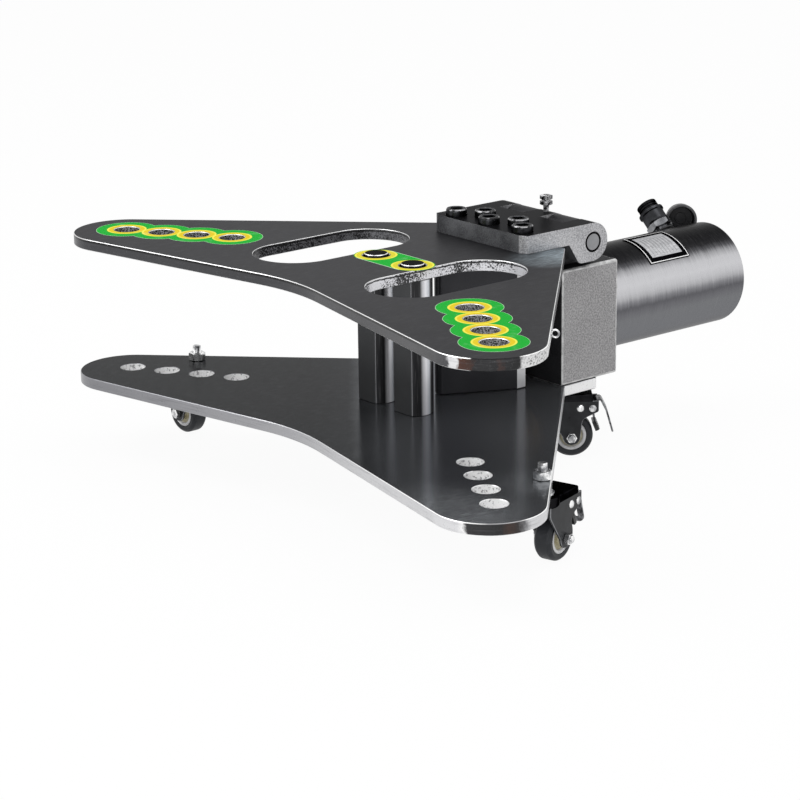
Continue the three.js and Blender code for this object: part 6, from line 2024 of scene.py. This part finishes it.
@dataclass
class Caster(Assembly):
    """One braked caster: along is the way that the wheel trails and heights are above the floor."""

    word: str
    x: float
    y: float
    heading: float
    nutted: bool
    wheel_radius: float = 25.0
    wheel_width: float = 20.0
    trail: float = 22.0
    tyre_depth: float = 7.5
    leg_inner: float = 12.5
    leg_thickness: float = 2.5
    cap_base: float = 64.8
    cap_thickness: float = 11.0
    cap_radius: float = 17.5
    cap_reach: float = 46.0
    foot_radius: float = 10.2
    rivet_along: float = 32.0
    rivet_height: float = 59.0
    pivot_along: float = 46.0
    pivot_height: float = 59.0
    lever_width: float = 18.0
    lever_sheet: float = 2.2
    brow: Point = (54.5, 70.0)
    elbow: Point = (62.0, 55.0)
    tip: Point = (70.0, 27.0)
    foot_angle: float = math.radians(21.4)
    foot_gap: float = 2.3
    stem_top: float = 110.0
    thread_from: float = 93.0
    thread_pitch: float = 1.2
    nut_flats: float = 10.5

    def place(self) -> Matrix:
        """From the caster's own frame to the machine."""
        return shift(self.x, self.y, 0) @ spin(self.heading, "Z")

    def axle(self) -> Matrix:
        """From a form along Z to the axle."""
        return self.place() @ shift(self.trail, 0, self.wheel_radius) @ spin(RIGHT_ANGLE, "X")

    def build_stem(self) -> None:
        """The threaded stud with its collar and nut; a caster without a nut keeps its CAD stem."""
        if not self.nutted:
            return
        top = self.stem_top
        thread: list[Corner] = [(0, 61, 0), (9, 61, 0.5), (9, 64, 0.5), (6, 64, 0), (6, 76, 0), (12, 76.1, 0.3),
            (12, 79.6, 0.3), (4.9, 79.7, 0)]
        level = self.thread_from
        while level < top - 1.6:
            thread += [(5.0, level, 0), (4.45, level + self.thread_pitch / 2, 0)]
            level += self.thread_pitch
        thread += [(4.9, top - 1.0, 0), (4.0, top, 0.2), (0, top, 0)]
        form = lathe(thread, 40).moved(shift(self.x, self.y, 0))
        self.bench.piece(f"stud_{self.word}", form, [Look.ZINC], "frame", "zinc", [f"stem_{self.word}"])
        clamp = nut(17, 9, 5.3, 92.8).moved(shift(self.x, self.y, 0))
        self.bench.piece(f"stud_nut_{self.word}", clamp, [Look.ZINC], "frame", "zinc",
            [f"caster_nut_{self.word}"])

    def build_fork(self) -> None:
        """The pressed fork with its rivets, the axle bolt and its nut."""
        outer = self.leg_inner + self.leg_thickness
        start = math.asin(outer / self.cap_radius)
        outline = [(self.cap_reach, -outer), (self.cap_reach, outer)]
        outline += arc(0, 0, self.cap_radius, start, TURN - start, math.radians(6))
        hole = circle(0, 0, 6.3, 32)
        cap = slab(outline, self.cap_base, self.cap_base + self.cap_thickness, 2.2, [hole], 3,
            hole_ease=0.4).tagged(2)
        profile = arc(self.trail, self.wheel_radius, self.foot_radius, math.pi, TURN, math.radians(10))
        lift = self.cap_base + 3
        profile += rounded([(self.trail + self.foot_radius, self.wheel_radius, 0), (34.5, 46, 9), (53, 55, 3),
                (53, lift, 0), (-9, lift, 0), (-9, 55, 4),
                (self.trail - self.foot_radius, self.wheel_radius, 0)])[1:-1]
        holes = [circle(self.trail, self.wheel_radius, 4.3, 32),
            circle(self.pivot_along, self.pivot_height, 2.8, 24)]
        upright = spin(RIGHT_ANGLE, "X")
        legs = [slab(profile, low, low + self.leg_thickness, 0.6, holes, 2, ease_tag=1, hole_ease=0.2)
                for low in (-outer, self.leg_inner)]
        form = cap.joined(*[leg.moved(upright) for leg in legs]).moved(self.place())
        body = f"swivel_{self.word}"
        self.bench.piece(f"bracket_{self.word}", form, [Look.FORK, Look.FORK_EDGE, Look.BLACK_STEEL], body,
            "black_steel", [f"fork_{self.word}"])
        dome = lathe([(0, 0, 0), (4.3, 0, 0), (4.3, 0.5, 0.3), (3.4, 1.5, 0.8), (1.6, 2.1, 1.0), (0, 2.2, 0)],
            28)
        left = dome.moved(upright)
        pair = left.moved(shift(0, -outer, 0)).joined(dome.moved(shift(0, outer, 0) @ spin(-RIGHT_ANGLE, "X")))
        spots = [(self.rivet_along, 0, self.rivet_height)]
        self.bench.grow(f"rivets_{self.word}", Pattern.POINTS, pair, Look.ZINC, body, "zinc", points=spots,
            place=self.place())
        gap = outer + GAP
        shank = lathe([(0, -gap - 2, 0), (4, -gap - 2, 0), (4, gap + 7.6, 0.8), (0, gap + 7.6, 0)], 32)
        head = nut(self.nut_flats, 5.3, 0, -gap - 5.3)
        form = shank.joined(head).moved(self.axle())
        self.bench.piece(f"axle_{self.word}", form, [Look.ZINC], body, "zinc", [f"axle_bolt_{self.word}"])
        form = nut(self.nut_flats, 5.5, 4.3, gap).moved(self.axle())
        self.bench.piece(f"axle_end_{self.word}", form, [Look.ZINC], body, "zinc", [f"axle_nut_{self.word}"])

    def build_wheel(self) -> None:
        """Tyre and hub."""
        radius, half = self.wheel_radius, self.wheel_width / 2
        inner = radius - self.tyre_depth
        side = [(inner, -half + 0.6, 0.4), (radius - 3.4, -half, 0.4), (radius - 2.6, -half + 0.3, 0.3),
            (radius, -half + 3.2, 3.0)]
        tyre = lathe(mirrored(side), 72, closed=True)
        body = f"wheel_{self.word}"
        self.bench.piece(f"rubber_{self.word}", tyre.moved(self.axle()), [Look.TYRE], body, "tyre_rubber",
            [f"tyre_{self.word}"])
        outer = inner - GAP
        edge = half - 0.8
        side = [(4.3, -12.2, 0.3), (8, -12.2, 0.8), (8.4, -6.0, 1.5), (outer - 4.6, -6.8, 1.5),
            (outer - 3.2, -edge, 0.6), (outer, -edge, 0.5)]
        rim = rounded(mirrored(side), step=math.radians(22.5))
        tags = [0 if (rim[i][0] + rim[(i + 1) % len(rim)][0]) / 2 > outer - 4.0 else 1 for i in range(len(rim))]
        hub = turned(rim + [rim[0]], 64, tags)
        self.bench.piece(f"core_{self.word}", hub.moved(self.axle()), [Look.HUB_RIM, Look.HUB_WEB], body,
            "hub_plastic", [f"hub_{self.word}"])

    def build_brake(self) -> None:
        """The brake lever of bent sheet, its toothed foot and its pivot."""
        half = self.lever_width / 2
        thick = self.lever_sheet / 2
        pivot = (self.pivot_along, self.pivot_height)
        upper = self._strip([pivot, self.brow, self.elbow], thick, half)
        run = Vector(self.tip) - Vector(self.elbow)
        length = run.length
        blade_outline = rounded([(0, -half, 0), (length, -half, 7), (length, half, 7), (0, half, 0)])
        mid = length * 0.62
        slot = rounded([(mid - 6, -2.2, 2), (mid + 6, -2.2, 2), (mid + 6, 2.2, 2), (mid - 6, 2.2, 2)])
        blade = slab(blade_outline, -thick, thick, 0.4, [slot], 2)
        lean = math.atan2(run.y, run.x)
        blade = blade.moved(shift(self.elbow[0], 0, self.elbow[1]) @ spin(-lean, "Y"))
        reach = self.wheel_radius + self.foot_gap
        cos, sin = math.cos(self.foot_angle), math.sin(self.foot_angle)
        along, height = self.trail + reach * cos, self.wheel_radius + reach * sin
        lower = self._strip([pivot, (along + 2.5 * cos, height + 2.5 * sin)], thick, half)
        pad_outline = rounded([(0.4, -6, 0.6), (5, -6, 1), (5, 6, 1), (0.4, 6, 0.6)])
        turn = shift(along, 0, height) @ spin(-self.foot_angle, "Y") @ spin(RIGHT_ANGLE, "X")
        pad = slab(pad_outline, -half, half, 0.5).tagged(1).moved(turn)
        end = self.leg_inner + self.leg_thickness + GAP + 1.5
        side = [(0, -end, 0), (2.6, -end, 0.6), (4.2, -end + 1.2, 0.3), (4.2, -end + 1.5, 0),
            (2.5, -end + 1.5, 0), (2.5, -half, 0), (4, -half, 0.4)]
        turn_pin = shift(self.pivot_along, 0, self.pivot_height) @ spin(RIGHT_ANGLE, "X")
        pin = lathe(mirrored(side), 32).moved(turn_pin)
        form = upper.joined(blade, lower, pin.tagged(2), pad).moved(self.place())
        body = f"brake_{self.word}"
        looks = [Look.DULL_ZINC, Look.BLACK_PLASTIC, Look.ZINC]
        self.bench.piece(f"lever_{self.word}", form, looks, body, "zinc", [f"brake_lever_{self.word}"])
        tooth = slab([(0, -0.6), (0.9, -0.6), (0, 0.9)], -half + 0.6, half - 0.6)
        self.bench.grow(f"foot_teeth_{self.word}", Pattern.ROW, tooth, Look.BLACK_PLASTIC, body, "zinc",
            count=5, step=(0.0, 2.3, 0.0), place=self.place() @ turn @ shift(4.9, -4.8, 0))

    def _strip(self, path: Sequence[Point], thick: float, half: float) -> Form:
        """A bent sheet across the caster, drawn by its middle line.

        Args:
            path: Points of the middle line, along and up.
            thick: Half the sheet's thickness.
            half: Half its width.

        Returns:
            The strip.
        """
        bends = [(x, y, 3.0) for x, y in path]
        line = rounded(bends, closed=False, step=math.radians(15))
        left, right = [], []
        for i, (x, y) in enumerate(line):
            before = Vector(line[max(i - 1, 0)])
            after = Vector(line[min(i + 1, len(line) - 1)])
            run = (after - before).normalized()
            left.append((x - run.y * thick, y + run.x * thick))
            right.append((x + run.y * thick, y - run.x * thick))
        outline = right + left[::-1]
        return slab(outline, -half, half, 0.3).moved(spin(RIGHT_ANGLE, "X"))

    def build(self) -> None:
        """The whole caster."""
        self.build_stem()
        self.build_fork()
        self.build_wheel()
        self.build_brake()


@dataclass
class Studio:
    """The photograph's camera, soft lamps and a pale floor."""

    shift_y: float
    azimuth: float = 0.892
    elevation: float = 0.296
    roll: float = -0.013
    focal_pixels: float = 2553.0
    distance: float = 2446.0
    pan: tuple[float, float] = (101.4, -114.3)
    unit: float = 1.10
    datum_z: float = 256.8
    fill: float = 0.62
    floor_tone: int = 0xF4F4F4
    floor_reach: float = 9000.0

    def build_camera(self) -> None:
        """The camera of the photograph."""
        a, e, r = self.azimuth, self.elevation, self.roll
        ahead = Vector((-math.sin(a) * math.cos(e), math.cos(a) * math.cos(e), -math.sin(e)))
        level = Vector((math.cos(a), math.sin(a), 0))
        above = level.cross(ahead)
        right = level * math.cos(r) + above * math.sin(r)
        up = above * math.cos(r) - level * math.sin(r)
        eye = -ahead * self.distance + right * self.pan[0] + up * self.pan[1]
        spot = eye * self.unit + Vector((0, self.shift_y, self.datum_z))
        data = bpy.data.cameras.new("photo_camera")
        data.sensor_width = SENSOR_WIDTH
        data.lens = SENSOR_WIDTH * self.focal_pixels / PHOTO_PIXELS
        data.clip_end = 50
        camera = linked("photo_camera", data)
        basis = Matrix((right, up, -ahead)).transposed()
        camera.matrix_world = Matrix.Translation(spot * MM) @ basis.to_4x4()
        bpy.context.scene.camera = camera

    def build_world(self) -> None:
        """White behind and in mirrors, an even light elsewhere."""
        world = bpy.data.worlds.new("studio")
        world.use_nodes = True
        bench = NodeBench(world.node_tree)
        seen = seen_by_eye(bench)
        strength = seen * (1 - self.fill) + self.fill
        shine = bench.node("ShaderNodeBackground", {}, {0: (1, 1, 1, 1), 1: strength})
        bench.node("ShaderNodeOutputWorld", {}, {0: shine.outputs[0]})
        bpy.context.scene.world = world

    def build_floor(self) -> None:
        """A wide pale floor that keeps the machine's shadow."""
        material, bench = new_bench("floor_paper")
        seen = seen_by_eye(bench)
        paper = bench.node("ShaderNodeBsdfDiffuse", {}, {0: tone(self.floor_tone)})
        glow = bench.node("ShaderNodeEmission", {}, {0: (1, 1, 1, 1), 1: 1.0})
        blend = bench.node("ShaderNodeMixShader", {}, {0: seen * 0.95, 1: paper.outputs[0], 2: glow.outputs[0]})
        bench.node("ShaderNodeOutputMaterial", {}, {0: blend.outputs[0]})
        size = self.floor_reach * MM
        mesh = bpy.data.meshes.new("floor")
        mesh.from_pydata([(-size, -size, 0), (size, -size, 0), (size, size, 0), (-size, size, 0)], [],
            [(0, 1, 2, 3)])
        mesh.materials.append(material)
        floor = linked("floor", mesh)

    def lamp(self, name: str, spot: Sequence[float], aim: Sequence[float], size: float, power: float) -> None:
        """One soft square lamp.

        Args:
            name: Its name.
            spot: Where it hangs, in metres.
            aim: What it points at, in metres.
            size: The side of its square.
            power: Its power in watts.
        """
        data = bpy.data.lights.new(name, "AREA")
        data.shape = "SQUARE"
        data.size = size
        data.energy = power
        made = linked(name, data)
        way = Vector(aim) - Vector(spot)
        made.matrix_world = Matrix.Translation(spot) @ way.to_track_quat("-Z", "Y").to_matrix().to_4x4()

    def build(self) -> None:
        """Camera, world, floor and lamps."""
        self.build_camera()
        self.build_world()
        self.build_floor()
        self.lamp("key_lamp", (-1.2, -1.4, 2.6), (0, 0, 0.15), 1.6, 26)
        self.lamp("top_lamp", (0.4, 0.5, 3.0), (0, 0, 0.2), 2.0, 22)
        self.lamp("low_lamp", (1.6, -2.0, 0.75), (0, 0, 0.1), 1.4, 16)


def main() -> None:
    """Builds the machine piece by piece."""
    logging.basicConfig(level=logging.INFO, format="%(name)s %(message)s")
    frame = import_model()
    front_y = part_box("head_block")[0].y / MM
    bench = Bench(front_y - Head.front)
    for assembly in (PlatePair, Hinge, Head, Cylinder, ReturnSpring, OilPort, Tooling):
        assembly(bench).build()
    stands = (Caster(bench, "left", -295.5, 74, math.radians(181), True),
        Caster(bench, "right", 295.5, 86, math.radians(107), True),
        Caster(bench, "rear_left", -34, 337, math.radians(98), False),
        Caster(bench, "rear_right", 34, 337, math.radians(51), False))
    for stand in stands:
        stand.build()
    inner = {"piston": Look.BRIGHT_STEEL, "piston_seal": Look.SEAL_RUBBER}
    inner |= {"stem_rear_left": Look.ZINC, "stem_rear_right": Look.ZINC}
    bench.dress(frame["nodes"], inner)
    Studio(bench.shift_y).build()
    scene = bpy.context.scene
    scene.view_settings.view_transform = "Standard"
    LOG.info("%d pieces", bench.count)


if __name__ == "__main__":
    main()
